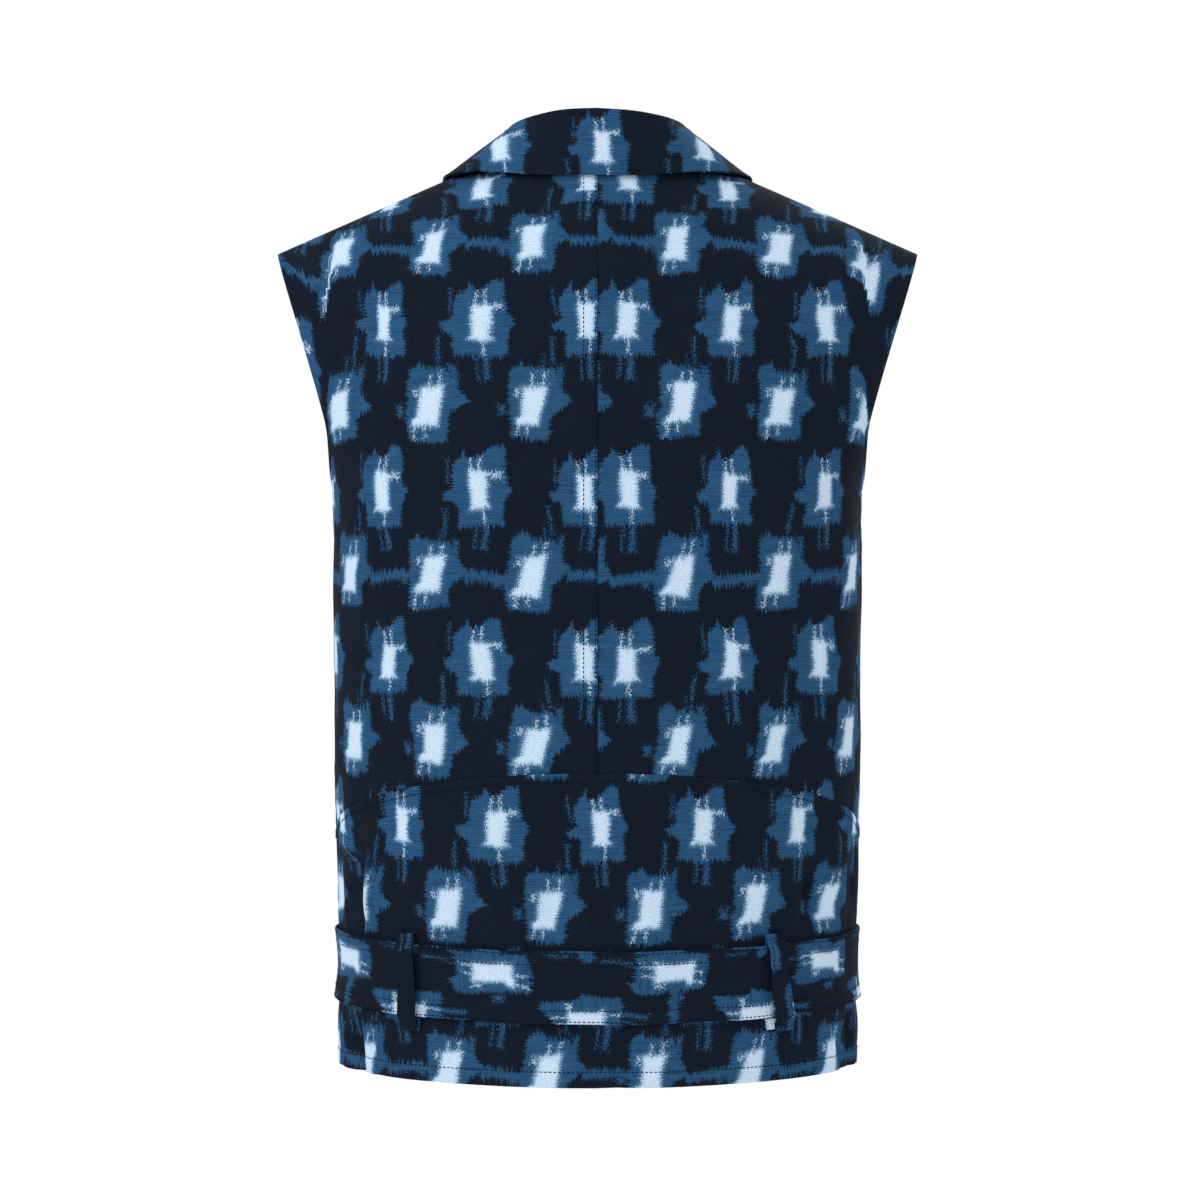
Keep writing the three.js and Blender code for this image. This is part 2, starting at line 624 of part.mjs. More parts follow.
// One strip round the waist: its start at the buckle's bar, the girth, and the tail over the start
function beltBand() {
  const middleZ = (levels.beltTop + levels.beltBottom) / 2;
  const base = cloth.wall / 2 + cloth.layerGap + cloth.belt / 2 + 0.3;
  const angleAt = (x) => torsoAngle(Math.abs(x), middleZ, false);
  const over = (x) => belt.over * ease(belt.rampOut, belt.rampIn, Math.abs(x));
  const stations = [];
  for (const x of [3, 5, 7, 9, 11, 13, 15, 17, 19, 22, 27, 35, 45, 58, 72]) {
    stations.push({ angle: -angleAt(x), out: over(x), share: 1 });
  }
  for (const t of spread(56).slice(1, -1)) {
    stations.push({ angle: lerp(-angleAt(80), angleAt(80), t), out: 0, share: 1 });
  }
  for (const x of [72, 58, 45, 35, 27, 22, 19, 16, 13, 10, 7, 4, 1]) {
    stations.push({ angle: angleAt(x), out: over(x) + belt.layer * ease(19, 3, x), share: 1 });
  }
  for (const x of [2, 5, 8, 11, 14, 17, 20, 25, 34, 46, 60, 74, 88, 94, 100, 106, 111]) {
    const left = clamp((belt.tailX - x) / belt.tip, 0, 1);
    stations.push({ angle: 360 * degrees - angleAt(x), out: over(x) + belt.layer, share: left ** 0.55 });
  }
  const rows = stations.map(({ angle, out, share }) =>
    spread(4).map((t) => {
      const half = (levels.beltTop - levels.beltBottom) / 2;
      const z = middleZ + half * share * (1 - 2 * t);
      const wrapped = angle > Math.PI ? angle - 2 * Math.PI : angle;
      const x = sectionX(Math.abs(wrapped), middleZ) * Math.sign(wrapped);
      const step = Math.cos(angle) < 0 ? overLap(x) : 0;
      const point = torso(wrapped, z, base + step + out);
      point.z += beltRise(angle);
      return point;
    }),
  );
  return piece("belt", wallGeometry(rows, cloth.belt), print);
}

// A loop on the back that stands off the belt, sewn down above and below it
function beltLoop({ name, at, lean }) {
  const low = cloth.wall / 2 + cloth.seamGap + cloth.loop / 2;
  const rows = spread(16).map((t) => {
    const z = lerp(loop.bottom, loop.top, t);
    const arch = ease(0.02, 0.16, t) * ease(0.98, 0.84, t);
    const lift = low + (loop.bulge - low) * arch;
    return spread(3).map((s) => {
      const angle = at + lean * (t - 0.5) - ((s - 0.5) * loop.wide) / loop.mmPerDegree;
      return torso(angle * degrees, z, lift);
    });
  });
  const flipped = rows.map((row) => row.reverse());
  return piece(name, wallGeometry(flipped, cloth.loop), print);
}

function roundedRect(path, wide, high, corner) {
  const x = wide / 2;
  const y = high / 2;
  path.moveTo(-x + corner, -y);
  path.lineTo(x - corner, -y);
  path.absarc(x - corner, -y + corner, corner, -Math.PI / 2, 0, false);
  path.lineTo(x, y - corner);
  path.absarc(x - corner, y - corner, corner, 0, Math.PI / 2, false);
  path.lineTo(-x + corner, y);
  path.absarc(-x + corner, y - corner, corner, Math.PI / 2, Math.PI, false);
  path.lineTo(-x, -y + corner);
  path.absarc(-x + corner, -y + corner, corner, Math.PI, Math.PI * 1.5, false);
  return path;
}

// A flat frame with a bar down its middle
function buckleFrame() {
  const middleZ = (levels.beltTop + levels.beltBottom) / 2;
  const shape = roundedRect(new THREE.Shape(), buckle.wide, buckle.high, buckle.corner);
  const openWide = (buckle.wide - 2 * buckle.bar - buckle.centreBar) / 2;
  const openHigh = buckle.high - 2 * buckle.bar;
  for (const side of [1, -1]) {
    const hole = new THREE.Path();
    const raw = roundedRect(new THREE.Path(), openWide, openHigh, 2.5);
    const shift = side * (buckle.centreBar + openWide) / 2;
    hole.setFromPoints(raw.getPoints(3).map((p) => new THREE.Vector2(p.x + shift, p.y)));
    shape.holes.push(hole);
  }
  const geometry = new THREE.ExtrudeGeometry(shape, {
    depth: buckle.thick - 2 * buckle.bevel,
    bevelThickness: buckle.bevel,
    bevelSize: buckle.bevel,
    bevelOffset: -buckle.bevel,
    bevelSegments: 1,
    curveSegments: 3,
  });
  const base = cloth.wall / 2 + cloth.layerGap + cloth.belt / 2 + 0.3;
  const out = base + closing.rightLift + buckle.out;
  geometry.translate(0, 0, buckle.bevel - buckle.thick / 2);
  geometry.rotateX(Math.PI / 2);
  geometry.translate(0, -alongTable(sections, "front", "z", middleZ) - out, middleZ);
  return piece("buckle", geometry, metal);
}

const parts = new THREE.Group();
parts.name = "vest";
parts.add(backPanel("back_left", 1));
parts.add(backPanel("back_right", -1));
parts.add(lowerBack());
parts.add(frontPanel("front_left", 1));
parts.add(frontPanel("front_right", -1));
parts.add(lapel("lapel_left", 1));
parts.add(lapel("lapel_right", -1));
parts.add(collar());
parts.add(beltBand());
for (const place of loops) parts.add(beltLoop(place));
parts.add(buckleFrame());

export default parts;
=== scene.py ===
# Sleeveless vest in printed cotton, shown from behind, hollow as it is worn.
# Shapes are worked out in millimetres and made in metres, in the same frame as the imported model.
import math

import bpy
import numpy as np
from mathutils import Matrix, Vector
from mathutils.kdtree import KDTree


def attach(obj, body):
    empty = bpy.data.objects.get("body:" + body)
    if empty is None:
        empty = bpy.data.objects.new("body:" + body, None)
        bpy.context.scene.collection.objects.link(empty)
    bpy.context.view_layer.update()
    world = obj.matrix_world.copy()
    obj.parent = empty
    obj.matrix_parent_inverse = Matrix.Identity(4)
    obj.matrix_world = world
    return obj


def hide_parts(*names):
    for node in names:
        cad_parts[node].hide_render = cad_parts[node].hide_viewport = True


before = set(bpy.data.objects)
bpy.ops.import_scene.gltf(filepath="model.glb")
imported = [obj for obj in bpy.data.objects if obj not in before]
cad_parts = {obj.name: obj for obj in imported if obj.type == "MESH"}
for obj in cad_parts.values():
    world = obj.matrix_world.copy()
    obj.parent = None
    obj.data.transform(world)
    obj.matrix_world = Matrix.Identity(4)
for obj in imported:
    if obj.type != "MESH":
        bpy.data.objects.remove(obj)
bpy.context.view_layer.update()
print("frame loaded")

mm = 0.001
mmPerRadian = 150  # about how far one radian reaches round the waist
cloth = {"wall": 1.2, "cadWall": 1.6, "cadCollar": 2.0, "cadLapel": 1.8, "cadBelt": 2.4, "seamGap": 0.4,
         "layerGap": 0.8}
levels = {"underarm": -232, "breakPoint": -270, "beltTop": -541, "beltBottom": -590, "hem": -633}
shoulder = {"neckX": 70, "neckZ": -1, "tipX": 223, "tipZ": -67.5, "seamY": -6, "neckSoft": 8}
neck = {"backY": 68, "backZ": -10, "round": 2.2, "softHalf": 115, "softPower": 1.5, "fade": 22}
armhole = {"backTurn": 25, "frontTurn": 29, "turnShare": 0.36, "turnPower": 0.7, "bend": 0.23, "soft": 0.05}
backSeam = {"centreZ": -421, "sideZ": -471}
closing = {"overlap": 25, "rightLift": 2.4, "leftFootZ": -186}
upperPower = {"value": 2.35, "from": 0.4}

# Torso sections from hem to underarm
sections = {
    "z": [-633, -604, -566, -525, -470, -400, -320, -232],
    "wide": [180.8, 182, 178.6, 181.4, 183, 183.8, 183.8, 183.8],
    "back": [108, 107, 104.5, 105.5, 107, 109, 111, 112],
    "front": [108.5, 107.5, 106.5, 108, 111, 114.5, 118, 119],
    "power": [1.9, 1.98, 2.02, 2.05, 2.1, 2.16, 2.3, 2.75],
}

# Folds: angle from centre back, top, peak and bottom heights, depth, half width in degrees, lean
folds = [
    (8, -425, -518, -537, -3.0, 4.0, 0),
    (-1.5, -470, -524, -537, -2.6, 3.2, 1),
    (57, -455, -512, -537, 4.2, 5.0, -2),
    (64.5, -450, -508, -537, -4.6, 4.0, -2),
    (80, -440, -515, -537, -3.0, 4.5, 3),
    (-45, -480, -518, -537, 3.0, 4.5, 5),
    (-52, -470, -516, -537, -4.4, 4.0, 6),
    (-76, -430, -510, -537, -3.2, 4.0, -3),
    (28, -490, -522, -537, -1.6, 4.0, 2),
    (-22, -485, -522, -537, -1.8, 3.8, -2),
    (-4, -592, -622, -700, -2.2, 4.0, 0),
    (66, -592, -612, -700, -3.8, 4.2, 4),
    (75, -592, -612, -650, 1.6, 4.2, 4),
    (-71, -592, -610, -690, -3.6, 4.4, 10),
    (112, -400, -512, -537, -3.4, 5.0, -4),
    (138, -440, -518, -537, -2.8, 4.4, 3),
    (-108, -380, -508, -537, -3.6, 5.2, 4),
    (-135, -450, -520, -537, -2.6, 4.2, -3),
    (126, -592, -618, -720, -2.6, 4.6, 3),
    (-122, -592, -618, -720, -2.8, 4.8, -4),
    (118, -225, -330, -430, -2.6, 8.0, 6),
    (-121, -220, -320, -440, -2.8, 8.5, -6),
]

# Small creases that only the cloth's own surface has, in the same columns
creases = [
    (9.6, -440, -505, -552, -1.0, 1.3, 0.5),
    (13.5, -500, -530, -552, -0.8, 1.2, 2),
    (-0.6, -500, -528, -552, -0.9, 1.2, 0.5),
    (61.2, -455, -505, -560, -4.2, 1.5, -3),
    (58.8, -460, -505, -560, 1.6, 1.4, -3),
    (70.5, -505, -528, -552, -1.4, 1.6, 8),
    (-51.0, -478, -512, -556, -3.4, 1.5, -9),
    (-48.4, -478, -512, -556, 1.2, 1.4, -9),
    (-55.5, -505, -524, -556, -1.6, 1.4, 14),
    (-73, -480, -505, -552, -1.6, 1.5, -4),
    (-78.5, -470, -500, -552, -1.2, 1.4, 5),
    (29, -505, -528, -552, -0.7, 1.3, 6),
    (-24, -500, -528, -552, -0.7, 1.4, -5),
    (40, -505, -530, -552, -0.8, 1.2, -6),
    (-36, -508, -530, -552, -0.8, 1.3, 5),
    (-5, -585, -618, -720, -0.9, 1.6, 1),
    (60, -582, -604, -660, -2.6, 1.7, 16),
    (67, -582, -608, -690, -2.4, 1.6, 6),
    (76, -582, -605, -650, -2.2, 1.5, -6),
    (-64, -582, -602, -645, -2.2, 1.6, 22),
    (-75, -582, -604, -670, -3.4, 1.8, 8),
    (22, -588, -604, -650, -0.7, 1.5, -4),
    (-30, -588, -606, -660, -0.7, 1.4, 6),
    (104, -440, -508, -552, -1.2, 1.6, 6),
    (121, -460, -515, -552, -1.1, 1.5, -6),
    (146, -470, -518, -552, -1.0, 1.5, 5),
    (-101, -430, -505, -552, -1.3, 1.7, -5),
    (-117, -460, -515, -552, -1.1, 1.5, 7),
    (-143, -470, -520, -552, -1.0, 1.5, -4),
    (108, -585, -606, -680, -1.1, 1.5, 5),
    (-104, -585, -606, -670, -1.2, 1.6, -7),
    (84, -236, -262, -318, -1.3, 3.0, 24),
    (-85, -236, -260, -310, -1.2, 3.0, -22),
    (97, -236, -275, -360, -1.4, 3.6, 14),
    (-98, -236, -272, -350, -1.3, 3.4, -12),
]


def lerp(start, end, t):
    return start + (end - start) * t


def ease(start, end, value):
    t = np.clip((value - start) / (end - start), 0.0, 1.0)
    return t * t * (3 - 2 * t)


def signedPower(value, power):
    return np.sign(value) * np.abs(value) ** power


# One column of a table, on a smooth curve through its rows
def alongTable(places, values, position):
    places = np.asarray(places, float)
    values = np.asarray(values, float)
    position = np.asarray(position, float)
    last = len(places) - 1
    low = np.maximum(np.arange(last + 1) - 1, 0)
    high = np.minimum(np.arange(last + 1) + 1, last)
    slope = (values[high] - values[low]) / (places[high] - places[low])
    k = np.searchsorted(places[1:-1], position, side="left")
    span = places[k + 1] - places[k]
    t = np.clip((position - places[k]) / span, 0.0, 1.0)
    rise = 3 * t ** 2 - 2 * t ** 3
    leave = (t ** 3 - 2 * t ** 2 + t) * span * slope[k]
    arrive = (t ** 3 - t ** 2) * span * slope[k + 1]
    return values[k] + (values[k + 1] - values[k]) * rise + leave + arrive


def section(column, z):
    return alongTable(sections["z"], sections[column], z)


def tableDepth(rows, angle, z):
    depth = 0.0
    for at, top, peak, bottom, deep, width, lean in rows:
        window = np.where(z >= peak, ease(top, peak, z), ease(bottom, peak, z))
        across = (angle - at - lean * (z - peak) / 100) / width
        depth = depth + deep * window * np.exp(-across * across)
    return depth


# Slow unevenness of cloth that isn't pressed flat
def waver(angle, z):
    slow = np.sin(angle * 0.13 + z * 0.021 + 1.3) * np.sin(z * 0.034 - angle * 0.05)
    quick = np.sin(angle * 0.41 - z * 0.047 + 0.6) * np.sin(z * 0.083 + angle * 0.11 + 2.0)
    return 0.55 * slow + 0.22 * quick


def unit(vectors):
    return vectors / np.maximum(np.linalg.norm(vectors, axis=-1, keepdims=True), 1e-9)


# Turns each direction round where its measure is below zero
def turned(directions, measure):
    return directions * np.where(measure < 0, -1.0, 1.0)[..., None]


def torso(angle, z, lift=0.0, fine=1.0):
    angle, z = np.broadcast_arrays(np.asarray(angle, float), np.asarray(z, float))
    power = section("power", z)
    wide = section("wide", z)
    deep = np.where(np.cos(angle) > 0, section("back", z), section("front", z))
    x = wide * signedPower(np.sin(angle), 2 / power)
    y = deep * signedPower(np.cos(angle), 2 / power)
    outX = signedPower(x / wide, power - 1) / wide
    outY = signedPower(y / deep, power - 1) / deep
    size = np.hypot(outX, outY)
    turn = (np.degrees(angle) + 180) % 360 - 180
    move = lift + tableDepth(folds, turn, z)
    if fine:
        inBelt = ease(-534, -546, z) * ease(-598, -586, z)
        move = move + fine * (tableDepth(creases, turn, z) + waver(turn, z)) * (1 - inBelt)
    return np.stack([x + outX / size * move, y + outY / size * move, z], axis=-1)


def torsoAngle(x, z, isBack):
    angle = np.arcsin(signedPower(np.clip(x / section("wide", z), -1, 1), section("power", z) / 2))
    return angle if isBack else math.pi - angle


def armholeTurn(share, isBack):
    turn = armhole["backTurn"] if isBack else armhole["frontTurn"]
    t = np.clip(share / armhole["turnShare"], 0, 1)
    return np.radians(90 - turn * (1 - (1 - t) ** 2) ** armhole["turnPower"])


def armholeX(share):
    def bend(s):
        return np.hypot(s - armhole["bend"], armhole["soft"]) + s - armhole["bend"]

    wide = section("wide", levels["underarm"])
    return lerp(wide, shoulder["tipX"], (bend(share) - bend(0)) / (bend(1) - bend(0)))


def powerAt(share):
    return lerp(section("power", levels["underarm"]), upperPower["value"], ease(0, upperPower["from"], share))


def upperWidth(share, isBack):
    return armholeX(share) / np.sin(armholeTurn(share, isBack)) ** (2 / powerAt(share))


def topZ(x, share, isBack):
    slope = (shoulder["tipZ"] - shoulder["neckZ"]) / (shoulder["tipX"] - shoulder["neckX"])
    side = np.abs(x) - shoulder["neckX"]
    sharp = slope * np.maximum(side, 0)
    soft = slope * shoulder["neckSoft"] * np.log(1 + np.exp(side / shoulder["neckSoft"]))
    dip = neck["backZ"] * (1 - np.minimum(np.abs(x) / shoulder["neckX"], 1) ** 2) if isBack else 0
    return shoulder["neckZ"] + lerp(soft, sharp, np.abs(share) ** 8) + dip


def topY(x, isBack, share=1.0):
    if not isBack:
        return shoulder["seamY"] + 0.0 * x
    across = np.minimum(np.abs(x) / shoulder["neckX"], 1)
    seam = (1 - across ** neck["round"]) ** (1 / neck["round"])
    soft = (1 - np.minimum(np.abs(x) / neck["softHalf"], 1) ** 2) ** neck["softPower"]
    return shoulder["seamY"] + (neck["backY"] - shoulder["seamY"]) * lerp(soft, seam, share ** neck["fade"])


def upper(x, share, isBack, lift=0.0, fine=1.0):
    x, share = np.broadcast_arrays(np.asarray(x, float), np.asarray(share, float))
    wide = upperWidth(share, isBack)
    deep = section("back" if isBack else "front", levels["underarm"])
    power = powerAt(share)
    low = deep * np.maximum(1 - np.clip(np.abs(x) / wide, 0, 1) ** power, 0) ** (1 / power)
    over = ease(40, 115, np.abs(x))
    rise = lerp(2.5, 2.2, over) if isBack else lerp(1.8, 2.3, over)
    rounding = np.maximum(1 - np.clip(share, 0, 1) ** rise, 0) ** (1 / (1 + over))
    side = 1 if isBack else -1
    top = topY(x, isBack, np.clip(share, 0, 1))
    y = top + (side * low - top) * rounding
    z = levels["underarm"] + (topZ(x, share, isBack) - levels["underarm"]) * share
    chest = np.degrees(np.arcsin(signedPower(np.clip(x / wide, -1, 1), power / 2)))
    turn = chest if isBack else np.where(x < 0, -1, 1) * 180 - chest
    depth = lift + tableDepth(folds, turn, levels["underarm"]) * (1 - ease(0, 0.3, share))
    if fine:
        small = tableDepth(creases, turn, levels["underarm"]) * (1 - ease(0, 0.12, share))
        depth = depth + fine * (small + waver(turn, z) * (1 - ease(0.8, 1.0, share)))
    return np.stack([x, y + side * depth, z], axis=-1)


def shareAt(x, z, isBack):
    share = (z - levels["underarm"]) / -levels["underarm"]
    for again in range(6):
        share = (z - levels["underarm"]) / (topZ(x, share, isBack) - levels["underarm"])
    return share


# The body's surface at x and z, seen from behind or before
def surfaceAt(x, z, isBack):
    x, z = np.broadcast_arrays(np.asarray(x, float), np.asarray(z, float))
    high = upper(x, np.clip(shareAt(x, z, isBack), 0, 1), isBack, 0.0, 0.0)
    lowZ = np.minimum(z, levels["underarm"])
    low = torso(torsoAngle(x, lowZ, isBack), lowZ, 0.0, 0.0)
    return np.where((z > levels["underarm"])[..., None], high, low)


def onBody(x, z, isBack, lift):
    x, z = np.broadcast_arrays(np.asarray(x, float), np.asarray(z, float))
    step = 0.5
    point = surfaceAt(x, z, isBack)
    across = surfaceAt(x + step, z, isBack) - surfaceAt(x - step, z, isBack)
    up = point - surfaceAt(x, z - step, isBack)
    out = unit(np.cross(across, up))
    side = 1 if isBack else -1
    out = turned(out, out[..., 1] * side)
    return point + out * np.asarray(lift, float)[..., None]


def archZ(angle):
    t = np.minimum(np.abs(angle) / (math.pi / 2), 1)
    return lerp(backSeam["centreZ"], backSeam["sideZ"], t ** 1.9)


def frontEdgeX(z):
    rise = np.maximum((z - levels["breakPoint"]) / -levels["breakPoint"], 0)
    return lerp(-closing["overlap"], shoulder["neckX"], rise)


def frontLift(x, side):
    return closing["rightLift"] * ease(85, 38, side * x) if side < 0 else 0.0 * x


def frontUpper(x, share, side):
    return upper(x, share, False, frontLift(x, side) * (1 - ease(0, 0.5, share)), 0.0)


# Distances along the rows or the columns of a grid of points
def rowLengths(points):
    steps = np.linalg.norm(np.diff(points, axis=1), axis=2)
    return np.concatenate([np.zeros((len(points), 1)), np.cumsum(steps, axis=1)], axis=1)


def columnLengths(points):
    steps = np.linalg.norm(np.diff(points, axis=0), axis=2)
    return np.concatenate([np.zeros((1, points.shape[1])), np.cumsum(steps, axis=0)], axis=0)


def deselectAll():
    for item in bpy.context.selected_objects:
        item.select_set(False)


def modify(item, kind, **settings):
    change = item.modifiers.new(kind.title(), kind)
    for name, value in settings.items():
        setattr(change, name, value)
    deselectAll()
    bpy.context.view_layer.objects.active = item
    item.select_set(True)
    bpy.ops.object.modifier_apply(modifier=change.name)


# A piece of cloth: a grid is added, its points are laid on the shape and it gets its thickness
def makeCloth(name, points, printAt, thick, edge=0.3):
    rows, columns = points.shape[:2]
    deselectAll()
    bpy.ops.mesh.primitive_grid_add(x_subdivisions=columns - 1, y_subdivisions=rows - 1, size=1.0)
    item = bpy.context.active_object
    item.name = name
    item.data.name = name
    item.data.vertices.foreach_set("co", (points * mm).astype(np.float32).ravel())
    layer = item.data.uv_layers[0]
    layer.name = "printMap"
    corners = np.zeros(len(item.data.loops), np.int32)
    item.data.loops.foreach_get("vertex_index", corners)
    flat = (printAt * 0.01).reshape(-1, 2)[corners]
    layer.data.foreach_set("uv", flat.astype(np.float32).ravel())
    item.data.update()
    modify(item, "SOLIDIFY", thickness=thick * mm, offset=0.0, use_even_offset=False)
    if edge:
        modify(item, "BEVEL", width=edge * mm, segments=2, limit_method="ANGLE",
               angle_limit=math.radians(50), use_clamp_overlap=True)
    deselectAll()
    item.select_set(True)
    bpy.context.view_layer.objects.active = item
    bpy.ops.object.shade_smooth_by_angle(angle=math.radians(50))
    return item


def place(item, node, material, slotName="printed_cotton"):
    item.data.materials.clear()
    item.data.materials.append(material)
    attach(item, "root")
    if node:
        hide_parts(node)


# Camera, light and floor
camera = {"x": -0.00175, "y": 2.300, "z": -0.225, "pitchDown": 2.09, "lens": 98.571}
bpy.ops.object.camera_add(location=(camera["x"], camera["y"], camera["z"]),
                          rotation=(math.radians(90 - camera["pitchDown"]), 0, math.pi))
eye = bpy.context.active_object
eye.data.lens = camera["lens"]
eye.data.sensor_width = 36
bpy.context.scene.camera = eye

studio = {"keyWatts": 44, "frontWatts": 30, "keySize": 2.0, "floorZ": -1.25, "floorRadius": 1.5}
world = bpy.data.worlds.new("studio")
world.use_nodes = True
world.node_tree.nodes["Background"].inputs["Color"].default_value = (1, 1, 1, 1)
world.node_tree.nodes["Background"].inputs["Strength"].default_value = 1.0
bpy.context.scene.world = world
bpy.context.scene.view_settings.view_transform = "Standard"


def addLight(name, at, towards, watts, size):
    bpy.ops.object.light_add(type="AREA", location=at)
    lamp = bpy.context.active_object
    lamp.name = name
    lamp.data.energy = watts
    lamp.data.size = size
    lamp.rotation_mode = "QUATERNION"
    lamp.rotation_quaternion = (Vector(towards) - Vector(at)).to_track_quat("-Z", "Y")


addLight("keyLight", (2.0, 1.8, 1.5), (0, 0, -0.3), studio["keyWatts"], studio["keySize"])
addLight("frontLight", (-1.5, -2.2, 1.3), (0, 0, -0.3), studio["frontWatts"], studio["keySize"])

deselectAll()
bpy.ops.mesh.primitive_circle_add(vertices=96, radius=studio["floorRadius"], fill_type="NGON",
                                  location=(0, 0, studio["floorZ"]))
floor = bpy.context.active_object
floor.name = "floor"
print("camera, light and floor made")


# Shader maths: a socket is wrapped so that sums on it add their Math nodes
class Flow:
    tree = None

    def __init__(self, link):
        self.link = link

    @classmethod
    def node(cls, kind, sockets, stops=None, **settings):
        made = cls.tree.nodes.new(kind)
        for name, value in settings.items():
            setattr(made, name, value)
        if stops:
            ramp = made.color_ramp
            ramp.elements[0].color = stops[0][1]
            ramp.elements[1].color = stops[-1][1]
            for at, color in stops[1:-1]:
                ramp.elements.new(at).color = color
        for name, value in sockets.items():
            if isinstance(value, Flow):
                cls.tree.links.new(value.link, made.inputs[name])
            else:
                made.inputs[name].default_value = value
        return made

    @classmethod
    def maths(cls, operation, *values):
        made = cls.node("ShaderNodeMath", dict(enumerate(values)), operation=operation)
        return cls(made.outputs[0])

    def __add__(self, other):
        return Flow.maths("ADD", self, other)

    def __radd__(self, other):
        return Flow.maths("ADD", other, self)

    def __sub__(self, other):
        return Flow.maths("SUBTRACT", self, other)

    def __rsub__(self, other):
        return Flow.maths("SUBTRACT", other, self)

    def __mul__(self, other):
        return Flow.maths("MULTIPLY", self, other)

    def __rmul__(self, other):
        return Flow.maths("MULTIPLY", other, self)

    def __truediv__(self, other):
        return Flow.maths("DIVIDE", self, other)

    def __abs__(self):
        return Flow.maths("ABSOLUTE", self)


def larger(a, b):
    return Flow.maths("MAXIMUM", a, b)


def smaller(a, b):
    return Flow.maths("MINIMUM", a, b)


def softStep(start, end, value):
    made = Flow.node("ShaderNodeMapRange", {"Value": value, "From Min": start, "From Max": end},
                     interpolation_type="SMOOTHSTEP")
    return Flow(made.outputs["Result"])


# Noise on two numbers, from 0 to 1 with its middle near 0.5
def noiseAt(x, y, detail=2.0, rough=0.5):
    joined = Flow.node("ShaderNodeCombineXYZ", {"X": x, "Y": y, "Z": 0.0})
    made = Flow.node("ShaderNodeTexNoise", {"Vector": Flow(joined.outputs[0]), "Scale": 1.0, "Detail": detail,
                                            "Roughness": rough}, noise_dimensions="2D")
    return Flow(made.outputs["Fac"])


def blend(factor, first, second, kind="MIX"):
    made = Flow.tree.nodes.new("ShaderNodeMix")
    made.data_type = "RGBA"
    made.blend_type = kind
    for socket, value in ((made.inputs[0], factor), (made.inputs[6], first), (made.inputs[7], second)):
        if isinstance(value, Flow):
            Flow.tree.links.new(value.link, socket)
        else:
            socket.default_value = value
    return Flow(made.outputs[2])


def newMaterial(name):
    material = bpy.data.materials.new(name)
    material.use_nodes = True
    Flow.tree = material.node_tree
    return material, material.node_tree.nodes["Principled BSDF"]


# The print repeats every 70 mm across and 114 mm up. Figure A stands on that grid and figure B halfway.
# A shape is charted in mm from its middle: its left and right sides at a few heights, then its bottom
# and top at a few places across.
printed = {"across": 70.0, "up": 114.0, "narrow": 0.88, "slantB": 0.15}
coreA = {
    "sides": [(-16, -8.2, 8.8), (-12.8, -8.2, 8.8), (-10.6, -7.6, 7.6), (-9.6, -6.2, 6.4), (2, -6.5, 6.3),
              (8, -6.3, 6.4), (9, -6.2, 8.6), (10.4, -6.0, 8.2), (11, -6.0, 5.8), (16, -5.4, 5.2)],
    "ends": [(-12, -11.6, 10), (-6, -12.9, 11.4), (-4.4, -12.8, 13.6), (-2.6, -12.8, 12.6),
             (0.5, -13.2, 11.9), (2.2, -14, 12.8), (3.4, -13, 11.8), (6, -12.8, 10.8), (12, -11.4, 10)],
}
haloA = {
    "sides": [(-30, -17.4, 18.6), (-11, -17.2, 17.6), (-8.2, -17.2, 17.8), (-6.8, -22.5, 18.2),
              (-3.8, -26.5, 19.6), (-0.6, -27, 21.5), (1.6, -21, 20.2), (4.5, -18.6, 17.2),
              (10, -19.8, 16.4), (17, -18.6, 15.6),
              (22, -15.5, 15.2), (32, -12, 14.6)],
    "ends": [(-28, -7, 1.5), (-18, -22.6, 17), (-15, -23.6, 20.6), (-11.2, -23.4, 22.6), (-9.8, -23.4, 29),
             (-8.2, -23.6, 24), (-5, -24, 20.4), (-1, -23.6, 20.8), (2, -23.4, 23), (5.6, -23.2, 26.8),
             (8.4, -23, 29), (14.2, -23.2, 28.6), (16.2, -23, 18), (22, -21, 4)],
}
coreB = {
    "sides": [(-16, -9.8, 7.4), (-12.8, -10.2, 7.4), (-11.2, -10.4, 7.4), (-8.2, -9.6, 7.6),
              (-6.8, -7.4, 7.4), (0, -7.3, 7.2), (7, -7.2, 7.8), (13, -7.0, 8), (16, -6.6, 8)],
    "ends": [(-13, -12, 12), (-7, -13.4, 12.8), (-3, -13.2, 13.6), (0, -12.4, 13.2), (3, -13.2, 13.9),
             (7, -12.8, 13.4), (13, -12, 12)],
}
haloB = {
    "sides": [(-30, -15.2, 11.6), (-20, -15.4, 12), (-12, -15.8, 12.8), (-6, -16.4, 13.6), (-4.6, -16, 16),
              (-1.5, -15.4, 21.5), (2.4, -15, 26.4), (5, -14.8, 23.4), (9, -14.8, 20.6), (14, -15, 18),
              (20, -15, 15.4), (32, -14.2, 14)],
    "ends": [(-20, -21, 12), (-15.6, -21.8, 22), (-13, -23, 26.4), (-9, -23.2, 26.8), (-7.6, -23.4, 30),
             (-5.6, -23.4, 26), (-2, -23.6, 24.6), (9, -22, 24.2), (12, -21.6, 24.6), (15, -20, 20),
             (27, -8, 2)],
}
